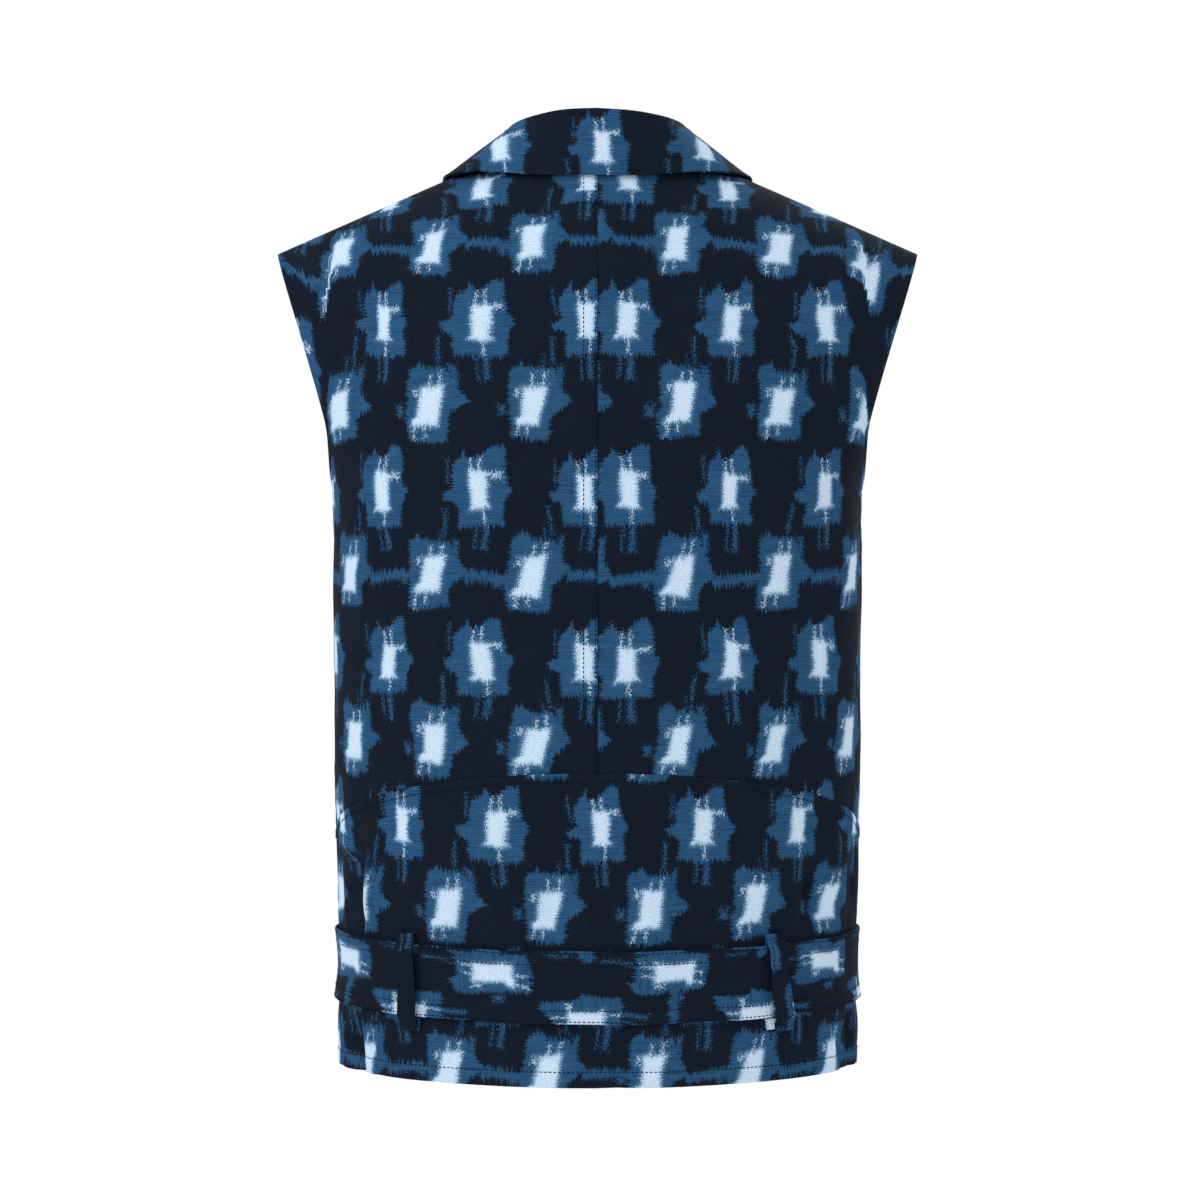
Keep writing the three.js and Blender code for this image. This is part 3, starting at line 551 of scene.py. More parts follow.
# Thin broken marks: centre across, centre up, half width, half height
paleMarksA = [(-3.6, 16.6, 1.1, 4.6), (2.2, 17, 1.1, 4.6), (2.8, -17.6, 1.1, 4.6), (11, 9.6, 3.0, 2.2)]
blueMarksA = [(-2.8, -31, 1.4, 8.6), (3.8, -31, 2.8, 9.6), (-22, 14.5, 1.3, 8.6), (-27, -20, 1.7, 10.5)]
paleMarksB = [(-7.6, -17.4, 1.1, 4.8), (-0.6, -16, 1.0, 3.8), (-2, 16.4, 1.1, 3.6), (4.8, 17, 1.1, 4.4),
              (-10, 9.6, 1.7, 2.8)]
blueMarksB = [(-20.6, -3.6, 3.2, 4.6), (17, 20, 3.0, 7), (6.4, 28, 0.9, 5)]


def boxes(x, y, rows):
    nearest = None
    for centreX, centreY, halfX, halfY in rows:
        far = larger(abs(x - centreX) - halfX, abs(y - centreY) - halfY)
        nearest = far if nearest is None else smaller(nearest, far)
    return nearest


# Two charted numbers at a position, read off a ramp
def charted(position, rows):
    low, high = rows[0][0], rows[-1][0]
    stops = [((at - low) / (high - low), (a / 100 + 0.5, b / 100 + 0.5, 0, 1)) for at, a, b in rows]
    ramp = Flow.node("ShaderNodeValToRGB", {"Fac": (position - low) / (high - low)}, stops)
    parts = Flow.node("ShaderNodeSeparateColor", {"Color": Flow(ramp.outputs["Color"])})
    return (Flow(parts.outputs["Red"]) - 0.5) * 100.0, (Flow(parts.outputs["Green"]) - 0.5) * 100.0


def shape(x, y, chart):
    left, right = charted(y, chart["sides"])
    bottom, top = charted(x, chart["ends"])
    return larger(larger(left - x, x - right), larger(bottom - y, y - top))


def makePrint(name):
    material, surface = newMaterial(name)
    seen = Flow.node("ShaderNodeUVMap", {}, uv_map="printMap")
    parts = Flow.node("ShaderNodeSeparateXYZ", {"Vector": Flow(seen.outputs["UV"])})
    u = Flow(parts.outputs["X"]) * 100.0
    v = Flow(parts.outputs["Y"]) * 100.0
    # the dye bleeds along single threads, so each warp thread and each weft thread is shifted a little
    warp = (noiseAt(u * 0.8, v * 0.05, 3.0, 0.7) - 0.5) * 12.0
    weft = (noiseAt(u * 0.07, v * 0.8 + 31.0, 3.0, 0.7) - 0.5) * 8.5
    driftX = (noiseAt(u * 0.024 + 7.0, v * 0.024, 1.0) - 0.5) * 9.0
    driftY = (noiseAt(u * 0.024, v * 0.024 + 19.0, 1.0) - 0.5) * 9.0
    cellA = Flow.maths("ROUND", u / printed["across"])
    odd = abs(Flow.maths("FLOORED_MODULO", cellA, 2.0))
    tall = Flow.maths("ROUND", v / printed["up"])
    squeeze = odd * (1.0 - 1 / printed["narrow"]) + 1 / printed["narrow"]
    xA = (u - cellA * printed["across"] + driftX) * squeeze
    yA = v - tall * printed["up"] + driftY
    cellB = Flow.maths("FLOOR", u / printed["across"])
    tallB = Flow.maths("FLOOR", v / printed["up"])
    xB = u - (cellB + 0.5) * printed["across"] + driftX
    yB = v - (tallB + 0.5) * printed["up"] + driftY
    leaned = xB - yB * printed["slantB"]
    core = smaller(shape(xA + weft * 0.45, yA + warp * 0.4, coreA),
                   shape(leaned + weft * 0.45, yB + warp * 0.4, coreB))
    halo = smaller(shape(xA + weft, yA + warp, haloA), shape(xB + weft, yB + warp, haloB))
    paleMarks = smaller(boxes(xA, yA + warp * 0.5, paleMarksA), boxes(leaned, yB + warp * 0.5, paleMarksB))
    blueMarks = smaller(boxes(xA, yA + warp, blueMarksA), boxes(xB, yB + warp, blueMarksB))
    # in every other row a ragged blue band joins the B figures
    bandRow = Flow.maths("FLOORED_MODULO", tallB, 2.0)
    bandX = Flow.maths("FLOORED_MODULO", u + driftX + 35.0, printed["across"])
    band = larger(abs(yB + 1.2 + warp * 1.3) - 3.3, abs(bandX - 40.5) - 17.0) + (1.0 - bandRow) * 40.0
    halo = smaller(halo, band)
    speck = noiseAt(u * 1.25, v * 1.25, 2.0, 0.65)
    crumb = noiseAt(u * 0.75 + 3.0, v * 0.62 + 8.0, 2.0, 0.7)
    halo = smaller(halo, blueMarks + (crumb - 0.42) * 11.0)
    paleMask = 1.0 - softStep(-1.3, 0.0, core + (speck - 0.5) * 9.0)
    markMask = 1.0 - softStep(-0.9, 0.6, paleMarks + (crumb - 0.44) * 10.0 + (speck - 0.5) * 4.0)
    fringeMask = 1.0 - softStep(-0.3, 2.2, core + (speck - 0.5) * 9.0)
    edgeMask = softStep(-4.0, -0.2, core + (speck - 0.5) * 9.0)
    blueMask = 1.0 - softStep(-0.9, 0.4, halo + (speck - 0.5) * 6.0)
    # uneven yarns: dark slubs run across the blue, and the dye is patchy
    slub = softStep(0.50, 0.62, noiseAt(u * 0.05, v * 1.15 + 5.0, 2.0, 0.6))
    patch = noiseAt(u * 0.05, v * 0.05 + 3.0, 2.0)
    mottle = noiseAt(u * 0.9, v * 0.9, 3.0, 0.7)
    blueTone = blend(patch, (0.0160, 0.0710, 0.1600, 1), (0.0240, 0.0900, 0.1900, 1))
    blueTone = blend(slub * 0.6, blueTone, (0.0080, 0.0380, 0.0950, 1))
    blueTone = blend(softStep(0.50, 0.80, mottle) * 0.4, blueTone, (0.0090, 0.0420, 0.1050, 1))
    navyTone = blend(patch, (0.0030, 0.0068, 0.0160, 1), (0.0048, 0.0088, 0.0190, 1))
    fleck = softStep(0.55, 0.70, noiseAt(u * 0.8 + 13.0, v * 0.9, 2.0, 0.7))
    navyTone = blend(fleck * 0.55, navyTone, (0.0160, 0.0220, 0.0330, 1))
    lightTone = (0.1300, 0.2700, 0.4400, 1)
    worn = softStep(0.42, 0.66, mottle) * 0.65
    paleTone = blend(worn, (0.6000, 0.7100, 0.8400, 1), (0.3300, 0.5000, 0.6700, 1))
    paleTone = blend(edgeMask * 0.7, paleTone, (0.3300, 0.5300, 0.7300, 1))
    colour = blend(blueMask, navyTone, blueTone)
    colour = blend(fringeMask * 0.55, colour, lightTone)
    colour = blend(markMask * 0.75, colour, (0.4200, 0.5800, 0.7400, 1))
    colour = blend(paleMask, colour, paleTone)
    threads = noiseAt(u * 0.9, v * 3.2, 2.0, 0.6) * 0.6 + noiseAt(u * 3.2, v * 0.9 + 40.0, 2.0, 0.6) * 0.6
    colour = blend(softStep(0.35, 0.95, threads) * 0.25, colour, (0, 0, 0, 1), "MULTIPLY")
    Flow.tree.links.new(colour.link, surface.inputs["Base Color"])
    rough = 0.84 + (mottle - 0.5) * 0.2
    Flow.tree.links.new(rough.link, surface.inputs["Roughness"])
    surface.inputs["Specular IOR Level"].default_value = 0.06
    bump = Flow.node("ShaderNodeBump", {"Strength": 0.35, "Distance": 0.0004, "Height": threads + slub * 0.3})
    Flow.tree.links.new(bump.outputs["Normal"], surface.inputs["Normal"])
    return material


printCloth = makePrint("printedCotton")
print("print made")


def makeThread(name, tone):
    material, surface = newMaterial(name)
    spot = Flow.node("ShaderNodeTexCoord", {})
    twist = Flow.node("ShaderNodeTexNoise", {"Vector": Flow(spot.outputs["Object"]), "Scale": 900.0,
                                             "Detail": 1.0})
    colour = blend(Flow(twist.outputs["Fac"]), tone, (tone[0] * 1.7, tone[1] * 1.7, tone[2] * 1.6, 1))
    Flow.tree.links.new(colour.link, surface.inputs["Base Color"])
    surface.inputs["Roughness"].default_value = 0.8
    surface.inputs["Specular IOR Level"].default_value = 0.05
    return material


navyThread = makeThread("navyThread", (0.0035, 0.0050, 0.0100, 1))


def makeMetal(name):
    material, surface = newMaterial(name)
    spot = Flow.node("ShaderNodeTexCoord", {})
    grain = Flow.node("ShaderNodeTexNoise", {"Vector": Flow(spot.outputs["Object"]), "Scale": 420.0,
                                             "Detail": 4.0, "Roughness": 0.65})
    worn = Flow(grain.outputs["Fac"])
    colour = blend(worn, (0.30, 0.31, 0.33, 1), (0.47, 0.48, 0.50, 1))
    Flow.tree.links.new(colour.link, surface.inputs["Base Color"])
    surface.inputs["Metallic"].default_value = 0.95
    rough = 0.3 + worn * 0.22
    Flow.tree.links.new(rough.link, surface.inputs["Roughness"])
    bump = Flow.node("ShaderNodeBump", {"Strength": 0.12, "Distance": 0.0002, "Height": worn})
    Flow.tree.links.new(bump.outputs["Normal"], surface.inputs["Normal"])
    return material


dullMetal = makeMetal("dullMetal")

floorMaterial, floorSurface = newMaterial("paleFloor")
floorSurface.inputs["Base Color"].default_value = (0.86, 0.86, 0.86, 1)
floorSurface.inputs["Roughness"].default_value = 0.9
floor.data.materials.append(floorMaterial)
print("finishes made")

# One stitch, modelled once: a short rounded bar that lies on the cloth
stitch = {"length": 2.3, "wide": 0.75, "high": 0.5, "gap": 0.8, "proud": 0.12}
deselectAll()
bpy.ops.mesh.primitive_uv_sphere_add(segments=6, ring_count=4, radius=0.5)
stitchShape = bpy.context.active_object
bpy.ops.transform.rotate(value=math.pi / 2, orient_axis="Y", center_override=(0, 0, 0))
bpy.ops.object.transform_apply(location=False, rotation=True, scale=False)
bpy.ops.transform.resize(value=(stitch["length"], stitch["wide"], stitch["high"]))
bpy.ops.object.transform_apply(location=False, rotation=False, scale=True)
stitchPoints = np.array([v.co for v in stitchShape.data.vertices], float)
stitchFaces = [tuple(p.vertices) for p in stitchShape.data.polygons]
bpy.data.objects.remove(stitchShape)


# Rows of stitches along lines of points, each line given with the outward direction at its points
def sew(name, lines):
    points = []
    faces = []
    step = stitch["length"] + stitch["gap"]
    for line, outs in lines:
        lengths = np.concatenate([[0], np.cumsum(np.linalg.norm(np.diff(line, axis=0), axis=1))])
        count = int(lengths[-1] // step)
        starts = (np.arange(count) + 0.5) * (lengths[-1] / count)

        def pick(values, at):
            return np.stack([np.interp(at, lengths, values[:, k]) for k in range(3)], axis=-1)

        centre = pick(line, starts)
        before = pick(line, np.maximum(starts - 1.0, 0))
        along = unit(pick(line, np.minimum(starts + 1.0, lengths[-1])) - before)
        up = unit(pick(outs, starts))
        side = unit(np.cross(up, along))
        up = unit(np.cross(along, side))
        for k in range(count):
            laid = stitchPoints @ np.stack([along[k], side[k], up[k]])
            base = len(points) * len(stitchPoints)
            points.append(laid + centre[k] + up[k] * stitch["proud"])
            faces.extend(tuple(base + c for c in face) for face in stitchFaces)
    mesh = bpy.data.meshes.new(name)
    mesh.from_pydata((np.concatenate(points) * mm).tolist(), [], faces)
    mesh.shade_smooth()
    item = bpy.data.objects.new(name, mesh)
    bpy.context.scene.collection.objects.link(item)
    place(item, None, navyThread)


# Upper back: fixed distances from the centre seam, then shares of the way to the side
back = {"centreColumns": [0.08, 0.7, 1.5, 2.6, 4.6, 7.2, 9.4, 10.1, 10.8, 12.2], "split": 120, "fell": 10.2,
        "fellLift": 0.5, "seamDip": 0.45, "step": 3.2}


def centreColumns():
    first = back["centreColumns"]
    rest = np.arange(first[-1] + 2.6, back["split"], back["step"])
    return np.concatenate([first, rest, [back["split"]]])


sideShares = np.concatenate([np.linspace(0, 1, 38)[1:-1] ** 0.96, [0.984, 0.992, 0.997, 1.0]])
upperShares = 1 - (1 - np.linspace(0, 1, 64) ** 1.9) ** 1.6


def backAngles(z):
    inner = torsoAngle(centreColumns()[None, :], z[:, None], True)
    outer = lerp(inner[:, -1:], math.pi / 2 + 0.0002, sideShares[None, :])
    return np.concatenate([inner, outer], axis=1)


def seamDip(distance):
    return -back["seamDip"] * np.exp(-(distance / 1.3) ** 2)


def pucker(distance, along, amount=0.16):
    wave = np.sin(along / 1.9) + 0.6 * np.sin(along / 3.1 + 1.0)
    return amount * wave * np.exp(-(distance / 6.0) ** 2)


# Keeps the print upright above the underarms: each point takes the place of the one straight below it
def uprightAbove(points, across, first, side, shares):
    level = across[first - 1]
    below = side * points[first - 1, :, 0]
    x = side * points[first:, :, 0]
    straightTo = 150
    straight = np.interp(x, below, level)
    outer = np.interp(straightTo, below, level) + (x - straightTo) * 1.12
    across[first:] = np.where(x < straightTo, straight, lerp(straight, outer, ease(0, 0.35, shares)))
    return across


def backPiece(side):
    rise = np.concatenate([[0, 0.0025, 0.0055, 0.010, 0.018, 0.03], np.linspace(0.045, 1, 66)])
    middle = lerp(backSeam["centreZ"], levels["underarm"], rise)
    angle = backAngles(middle)
    low = archZ(angle) + 0.05
    z = lerp(low, levels["underarm"], rise[:, None])
    angle = np.where(centreMask(angle.shape), flatAngles(angle, z), angle)
    toCentre = sectionX(angle, z)
    toSide = (math.pi / 2 - angle) * mmPerRadian
    toArch = z - low
    lift = seamDip(toSide) + seamDip(toArch) + pucker(toArch, toCentre) + pucker(toSide, z)
    lift = lift + centreLift(toCentre, side) + pucker(toCentre, z, 0.12)
    lowRows = torso(side * angle, z, lift)
    rows = [lowRows]
    share = upperShares[1:, None]
    wide = upperWidth(share, True)
    inner = centreColumns()[None, :] + 0 * share
    start = np.arcsin(signedPower(back["split"] / wide, powerAt(share) / 2))
    around = lerp(start, armholeTurn(share, True), sideShares[None, :])
    outer = wide * np.sin(around) ** (2 / powerAt(share))
    x = np.concatenate([inner, outer], axis=1)
    shares = np.broadcast_to(share, x.shape)
    toTop = (1 - shares) * 160
    atNeck = ease(shoulder["neckX"] + 4, shoulder["neckX"] - 4, x)
    lift = centreLift(x, side) + pucker(x, shares * 232, 0.12) + seamDip(toTop) * (1 - atNeck)
    points = upper(side * x, shares, True, lift)
    points = np.concatenate([lowRows, points], axis=0)
    across = uprightAbove(points, rowLengths(points) + points[:, :1, 0] * side, len(z), side, shares)
    up = np.concatenate([z - levels["underarm"], upArc(x, shares, True)], axis=0)
    return points, across, up + 9 * ease(172, 215, up) * ease(110, 80, np.abs(points[..., 0]))


def centreMask(shape):
    mask = np.zeros(shape, bool)
    mask[:, : len(centreColumns())] = True
    return mask


# Keeps the columns near the centre at their distance from the seam at every height
def flatAngles(angle, z):
    fixed = np.broadcast_to(centreColumns()[None, :], (len(z), len(centreColumns())))
    kept = angle.copy()
    kept[:, : fixed.shape[1]] = torsoAngle(fixed, z[:, : fixed.shape[1]], True)
    return kept


def sectionX(angle, z):
    return section("wide", z) * signedPower(np.sin(angle), 2 / section("power", z))


# The left half's felled edge stands up by its folded allowance, and the right half tucks under it
def centreLift(x, side):
    if side > 0:
        return back["fellLift"] * ease(back["fell"] + 0.5, back["fell"] - 0.3, x) + 0.5 * seamDip(x)
    return 1.1 * seamDip(x)


# Length of cloth from the underarm line up to each point, straight up the panel
def upArc(x, shares, isBack):
    steps = np.linspace(0, 1, 21)
    line = [upper(x, np.minimum(shares * s, 1), isBack, 0, 0) for s in steps]
    return sum(np.linalg.norm(line[k + 1] - line[k], axis=-1) for k in range(20))


backLeftPoints, acrossLeft, upLeft = backPiece(1)
backLeftPrint = np.stack([8.35 - acrossLeft, upLeft], axis=-1)
backLeft = makeCloth("backLeft", backLeftPoints, backLeftPrint, cloth["wall"])
backRightPoints, acrossRight, upRight = backPiece(-1)
backRightPrint = np.stack([acrossRight + 50.3, upRight], axis=-1)
backRight = makeCloth("backRight", backRightPoints, backRightPrint, cloth["wall"])
for piece, node in ((backLeft, "back_left"), (backRight, "back_right")):
    place(piece, node, printCloth)
print("upper back made")

# Lower back: one piece from side seam to side seam, its top edge topstitched down over the seam
# A tuck: its angle, its lean and the width of print that it hides
lowBack = {"topBand": 5.5, "topLift": 0.45, "hemFold": 10.5, "hemLift": 0.5, "printZ": -458, "tuckZ": -505,
           "tucks": [(60.6, -3, 17.0)]}


def lowerBackAngles(z):
    half = np.concatenate([[0.0], np.arange(3.2, back["split"] + 1, 3.2)])
    inner = torsoAngle(half[None, :], z[:, : len(half)], True)
    outer = lerp(inner[:, -1:], math.pi / 2 + 0.0002, sideShares[None, :])
    right = np.concatenate([inner, outer], axis=1)
    return np.concatenate([-right[:, :0:-1], right], axis=1)


def hemLift(z):
    top = levels["hem"] + lowBack["hemFold"]
    return lowBack["hemLift"] * ease(top + 0.8, top - 0.4, z) + 0.35 * seamDip(z - top)


def lowerBackPiece():
    rise = np.concatenate([[0, 0.006, 0.014], np.linspace(0.028, 0.93, 62),
                           [0.943, 0.955, 0.966, 0.975, 0.983, 0.990, 0.9955, 1.0]])
    columns = 2 * (len(np.arange(3.2, back["split"] + 1, 3.2)) + len(sideShares)) + 1
    z = np.broadcast_to(lerp(levels["hem"], -440.0, rise)[:, None], (len(rise), columns))
    for again in range(3):
        half = z[:, columns // 2:]
        angle = lowerBackAngles(half)
        z = lerp(levels["hem"], archZ(angle) - 0.05, rise[:, None])
    toTop = archZ(angle) - z
    toSide = (math.pi / 2 - np.abs(angle)) * mmPerRadian
    along = np.degrees(angle) * 2.9
    band = lowBack["topLift"] * ease(lowBack["topBand"] + 0.9, lowBack["topBand"] - 0.2, toTop)
    lift = band + seamDip(toTop) * 0.8 + seamDip(toSide) + hemLift(z) + pucker(toTop - 4, along, 0.2)
    lift = lift + pucker(z - levels["hem"] - 6, along, 0.16)
    points = torso(angle, z, lift)
    lengths = rowLengths(points)
    s = lengths - lengths[:, columns // 2: columns // 2 + 1]
    turn = np.degrees(angle)
    for at, lean, hidden in lowBack["tucks"]:
        s = s + np.where(turn > at + lean * (z - lowBack["tuckZ"]) / 100, hidden * ease(-476, -490, z), 0.0)
    return points, np.stack([-s - 1.6, (z - lowBack["printZ"]) * 1.03 + printed["up"]], axis=-1)


lowPoints, lowPrint = lowerBackPiece()
backLower = makeCloth("backLower", lowPoints, lowPrint, cloth["wall"])
place(backLower, "back_lower", printCloth)
print("lower back made")

# Fronts: from the closing edge and the roll line round to the side seam, shoulder and armhole
frontShape = {"columns": 74, "rowStep": 5.0, "sideOffset": 230.0}


def frontPiece(side):
    middle = np.linspace(0.02, 0.985, frontShape["columns"])
    u = np.concatenate([[0, 0.004, 0.010], middle, [0.991, 0.996, 1.0]])
    hem, underarm = levels["hem"], levels["underarm"]
    between = np.arange(hem + 4, underarm, frontShape["rowStep"])
    heights = np.concatenate([[hem, hem + 1.2], between, [underarm]])
    z = np.broadcast_to(heights[:, None], (len(heights), len(u)))
    edge = torsoAngle(frontEdgeX(heights), heights, False)[:, None]
    angle = lerp(edge, math.pi / 2 - 0.0015, u[None, :])
    x = side * sectionX(angle, z)
    toSide = (angle - math.pi / 2) * mmPerRadian
    under = -0.5 * ease(0.4, 0, toSide)
    lift = frontLift(x, side) + seamDip(toSide) + under + pucker(toSide, z) + hemLift(z)
    lowRows = torso(side * angle, z, lift)
    share = upperShares[1:, None]
    wide = upperWidth(share, False)
    edgeZ = levels["underarm"] * (1 - share)
    start = np.arcsin(signedPower(frontEdgeX(edgeZ) / wide, powerAt(share) / 2))
    around = lerp(start, armholeTurn(share, False), u[None, :])
    x = wide * signedPower(np.sin(around), 2 / powerAt(share))
    shares = np.broadcast_to(share, x.shape)
    lift = frontLift(side * x, side) * (1 - ease(0, 0.5, shares)) + seamDip((1 - shares) * 160)
    highRows = upper(side * x, shares, False, lift)
    points = np.concatenate([lowRows, highRows], axis=0)
    lengths = rowLengths(points)
    inside = frontShape["sideOffset"] - (lengths[:, -1:] - lengths)
    across = side * uprightAbove(points, inside, len(heights), side, shares)
    up = np.concatenate([z - levels["underarm"], upArc(x, shares, False)], axis=0)
    return points, np.stack([across, up + 18], axis=-1)


for side, name, node in ((1, "frontLeft", "front_left"), (-1, "frontRight", "front_right")):
    frontPoints, frontPrint = frontPiece(side)
    front = makeCloth(name, frontPoints, frontPrint, cloth["wall"])
    place(front, node, printCloth)
print("fronts made")


# Points over the chest, back and shoulder, to keep what lies on them clear of them
def bodyTree(side):
    x = side * np.arange(2, shoulder["tipX"], 4)
    share = 1 - (1 - np.linspace(0, 1, 49)[1:]) ** 2
    x, share = np.meshgrid(x, np.minimum(share, 0.998))
    points = []
    outs = []

    def add(at, u, v, outward):
        point = at(u, v)
        across = at(u + 0.4, v) - at(u - 0.4, v)
        up = point - at(u, v - 0.002)
        out = unit(np.cross(across, up))
        out = turned(out, (out * outward).sum(axis=-1))
        points.append(point.reshape(-1, 3))
        outs.append(out.reshape(-1, 3))

    high = share ** 6
    zero = 0 * high
    add(lambda a, b: upper(a, b, True, 0, 0), x, share, np.stack([zero, 1 - high, high], axis=-1))
    add(lambda a, b: frontUpper(a, b, side), x, share, np.stack([zero, high - 1, high], axis=-1))

    def low(a, b):
        z = levels["underarm"] + 100 * b
        return torso(side * torsoAngle(side * a, z, False), z, frontLift(a, side), 0)

    x, rise = np.meshgrid(side * np.arange(-22, 120, 4), -np.linspace(0, 1, 13) * 0.5)
    zero = 0 * rise
    add(low, x, rise, np.stack([zero, zero - 1, zero], axis=-1))
    points = np.concatenate(points)
    outs = np.concatenate(outs)
    tree = KDTree(len(points))
    for k, point in enumerate(points):
        tree.insert(point, k)
    tree.balance()
    return tree, points, outs


bodyTrees = {1: bodyTree(1), -1: bodyTree(-1)}


# Moves a sheet's rows clear of the body, each as far as its neighbours
def keepClearEvenly(points, side, distance):
    move = keepClear(points, side, distance) - points
    for again in range(8):
        padded = np.concatenate([move[:1], move, move[-1:]])
        move = (padded[:-2] + 2 * padded[1:-1] + padded[2:]) / 4
    return points + move


def keepClear(points, side, distance):
    tree, samples, outs = bodyTrees[side]
    moved = points.reshape(-1, 3).copy()
    for again in range(2):
        nearest = np.array([tree.find(p)[1] for p in moved])
        above = ((moved - samples[nearest]) * outs[nearest]).sum(axis=1)
        moved = moved + outs[nearest] * np.maximum(distance - above, 0)[:, None]
    return moved.reshape(points.shape)


# The free edge of a front, with the directions along it, out of it and beyond it
def frontEdge(z, side):
    z = np.asarray(z, float)

    def at(height, inset):
        x = frontEdgeX(height) + inset
        share = np.clip((height - levels["underarm"]) / -levels["underarm"], 0, 1)
        high = frontUpper(side * x, share, side)
        lowZ = np.minimum(height, levels["underarm"])
        low = torso(side * torsoAngle(x, lowZ, False), lowZ, frontLift(side * x, side), 0)
        return np.where((height > levels["underarm"])[..., None], high, low)

    point = at(z, 0)
    along = unit(at(np.minimum(z + 2, -0.5), 0) - at(z - 2, 0))
    inward = unit(at(z, 3) - point)
    out = unit(np.cross(along, inward))
    out = turned(out, -out[..., 1])
    across = unit(np.cross(out, along))
    across = turned(across, -(across * inward).sum(axis=-1))
    return point, along, out, across


roll = {"radius": 1.7, "steps": 8}
lapelPeak = {"x": 131, "z": -90}
gorge = {"notch": (86.5, -67.2), "share": 0.62, "gap": 0.8, "from": 6, "seamZ": -52}


# Lapels: each turns over along the roll line and lies on its front
def lapelPiece(side):
    foot = closing["leftFootZ"] if side > 0 else levels["breakPoint"] + 6
    top = gorge["seamZ"] - gorge["gap"]
    clear = cloth["cadWall"] / 2 + cloth["layerGap"] + cloth["cadLapel"] / 2
    t = np.linspace(0, 1, 60)
    z = lerp(foot, top, t)
    point, along, out, across = frontEdge(z, side)
    start = point + across * cloth["seamGap"]
    reach = (0.3 + 0.7 * t)[:, None]
    columns = [start]
    centre = start + out * roll["radius"]
    for k in range(roll["steps"] + 1):
        turn = math.pi * k / roll["steps"]
        columns.append(centre + across * (roll["radius"] * math.sin(turn) + reach)
                       - out * roll["radius"] * math.cos(turn))
    belly = 11 * np.sin(math.pi * t ** 0.85)
    outerX = lerp(frontEdgeX(foot) + 6, lapelPeak["x"], t ** 1.12) + belly
    outerZ = lerp(foot + 2, lapelPeak["z"], t) - belly * 0.35
    rollX = frontEdgeX(z) + 1
    for s in np.linspace(0, 1, 31)[1:]:
        lift = clear + 2.2 * np.sin(math.pi * s) * t
        laid = onBody(side * lerp(rollX, outerX, s), lerp(z, outerZ, s), False, lift)
        columns.append(keepClear(laid, side, clear))
    points = np.stack(columns, axis=1)
    return points, np.stack([side * rowLengths(points) + 12, columnLengths(points) + 30], axis=-1)


for side, name, node in ((1, "lapelLeft", "lapel_left"), (-1, "lapelRight", "lapel_right")):
    lapelPoints, lapelPrint = lapelPiece(side)
    lapel = makeCloth(name, lapelPoints, lapelPrint, 1.5, 0.4)
    place(lapel, node, printCloth)
print("lapels made")

# Collar: sections from centre back to the gorge on the wearer's left, mirrored for the right
collarRows = {
    "seamX": [0, 25, 45, 59, 67, 70],
    "roll": [(0, 66.5, 25.4), (24, 62.8, 24.6), (41.5, 51, 22.2), (51, 33, 20.4), (56.5, 13, 18.6),
             (60, -8, 14)],
    "frontSeamZ": [-20, -37, gorge["seamZ"]],
    "rise": [11, 6.4, 3.2],
    "lean": [0.62, 0.35, 0],
    "edgeX": [0, 32, 58, 77, 92, 105, 109, 109, 107],
    "edgeZ": [-21, -20, -18.6, -19.4, -19.2, -17.2, -29, -41, -53],
    "lift": [3.6, 3.6, 4.4, 6.6, 6.0, 3.6, 3.0, 3.0, 3.0],
    "bow": [2.5, 2.5, 2, 1.5, 1, 0.5, 1, 1, 1],
}
collarPlaces = np.arange(9)
corner = 5  # the place where the collar's seam leaves the neck and goes down the front


def frontCrest():
    found = []
    for z, rise, lean in zip(collarRows["frontSeamZ"], collarRows["rise"], collarRows["lean"]):
        point, along, out, across = frontEdge(np.array([z]), 1)
        up = unit(across * (1 - lean) + np.array([0, 0, lean]))
        found.append((point + up * rise)[0])
    return found


crests = np.array(list(collarRows["roll"]) + [tuple(p) for p in frontCrest()])


def collarSeam(place):
    seamZ = alongTable(collarPlaces[corner:], [-0.5] + collarRows["frontSeamZ"], np.maximum(place, corner))
    front = frontEdge(seamZ, 1)[0]
    x = alongTable(collarPlaces[:corner + 1], collarRows["seamX"], np.minimum(place, corner))
    behind = np.stack([x, topY(x, True), topZ(x, 1.0, True)], axis=-1)
    return np.where((place > corner)[:, None], front, behind)


def collarCrest(place):
    place = np.clip(place, 0, 8)
    return np.stack([alongTable(collarPlaces, crests[:, k], place) for k in range(3)], axis=-1)


def collarEdge(place):
    x = alongTable(collarPlaces, collarRows["edgeX"], place)
    z = alongTable(collarPlaces, collarRows["edgeZ"], place)
    lift = alongTable(collarPlaces, collarRows["lift"], place)
    behind = onBody(x, np.minimum(z, topZ(x, 1.0, True) - 0.5), True, lift)
    before = onBody(x, np.minimum(z, topZ(x, 1.0, False) - 0.5), False, lift)
    return lerp(behind, before, ease(4.2, 5.8, place)[:, None])


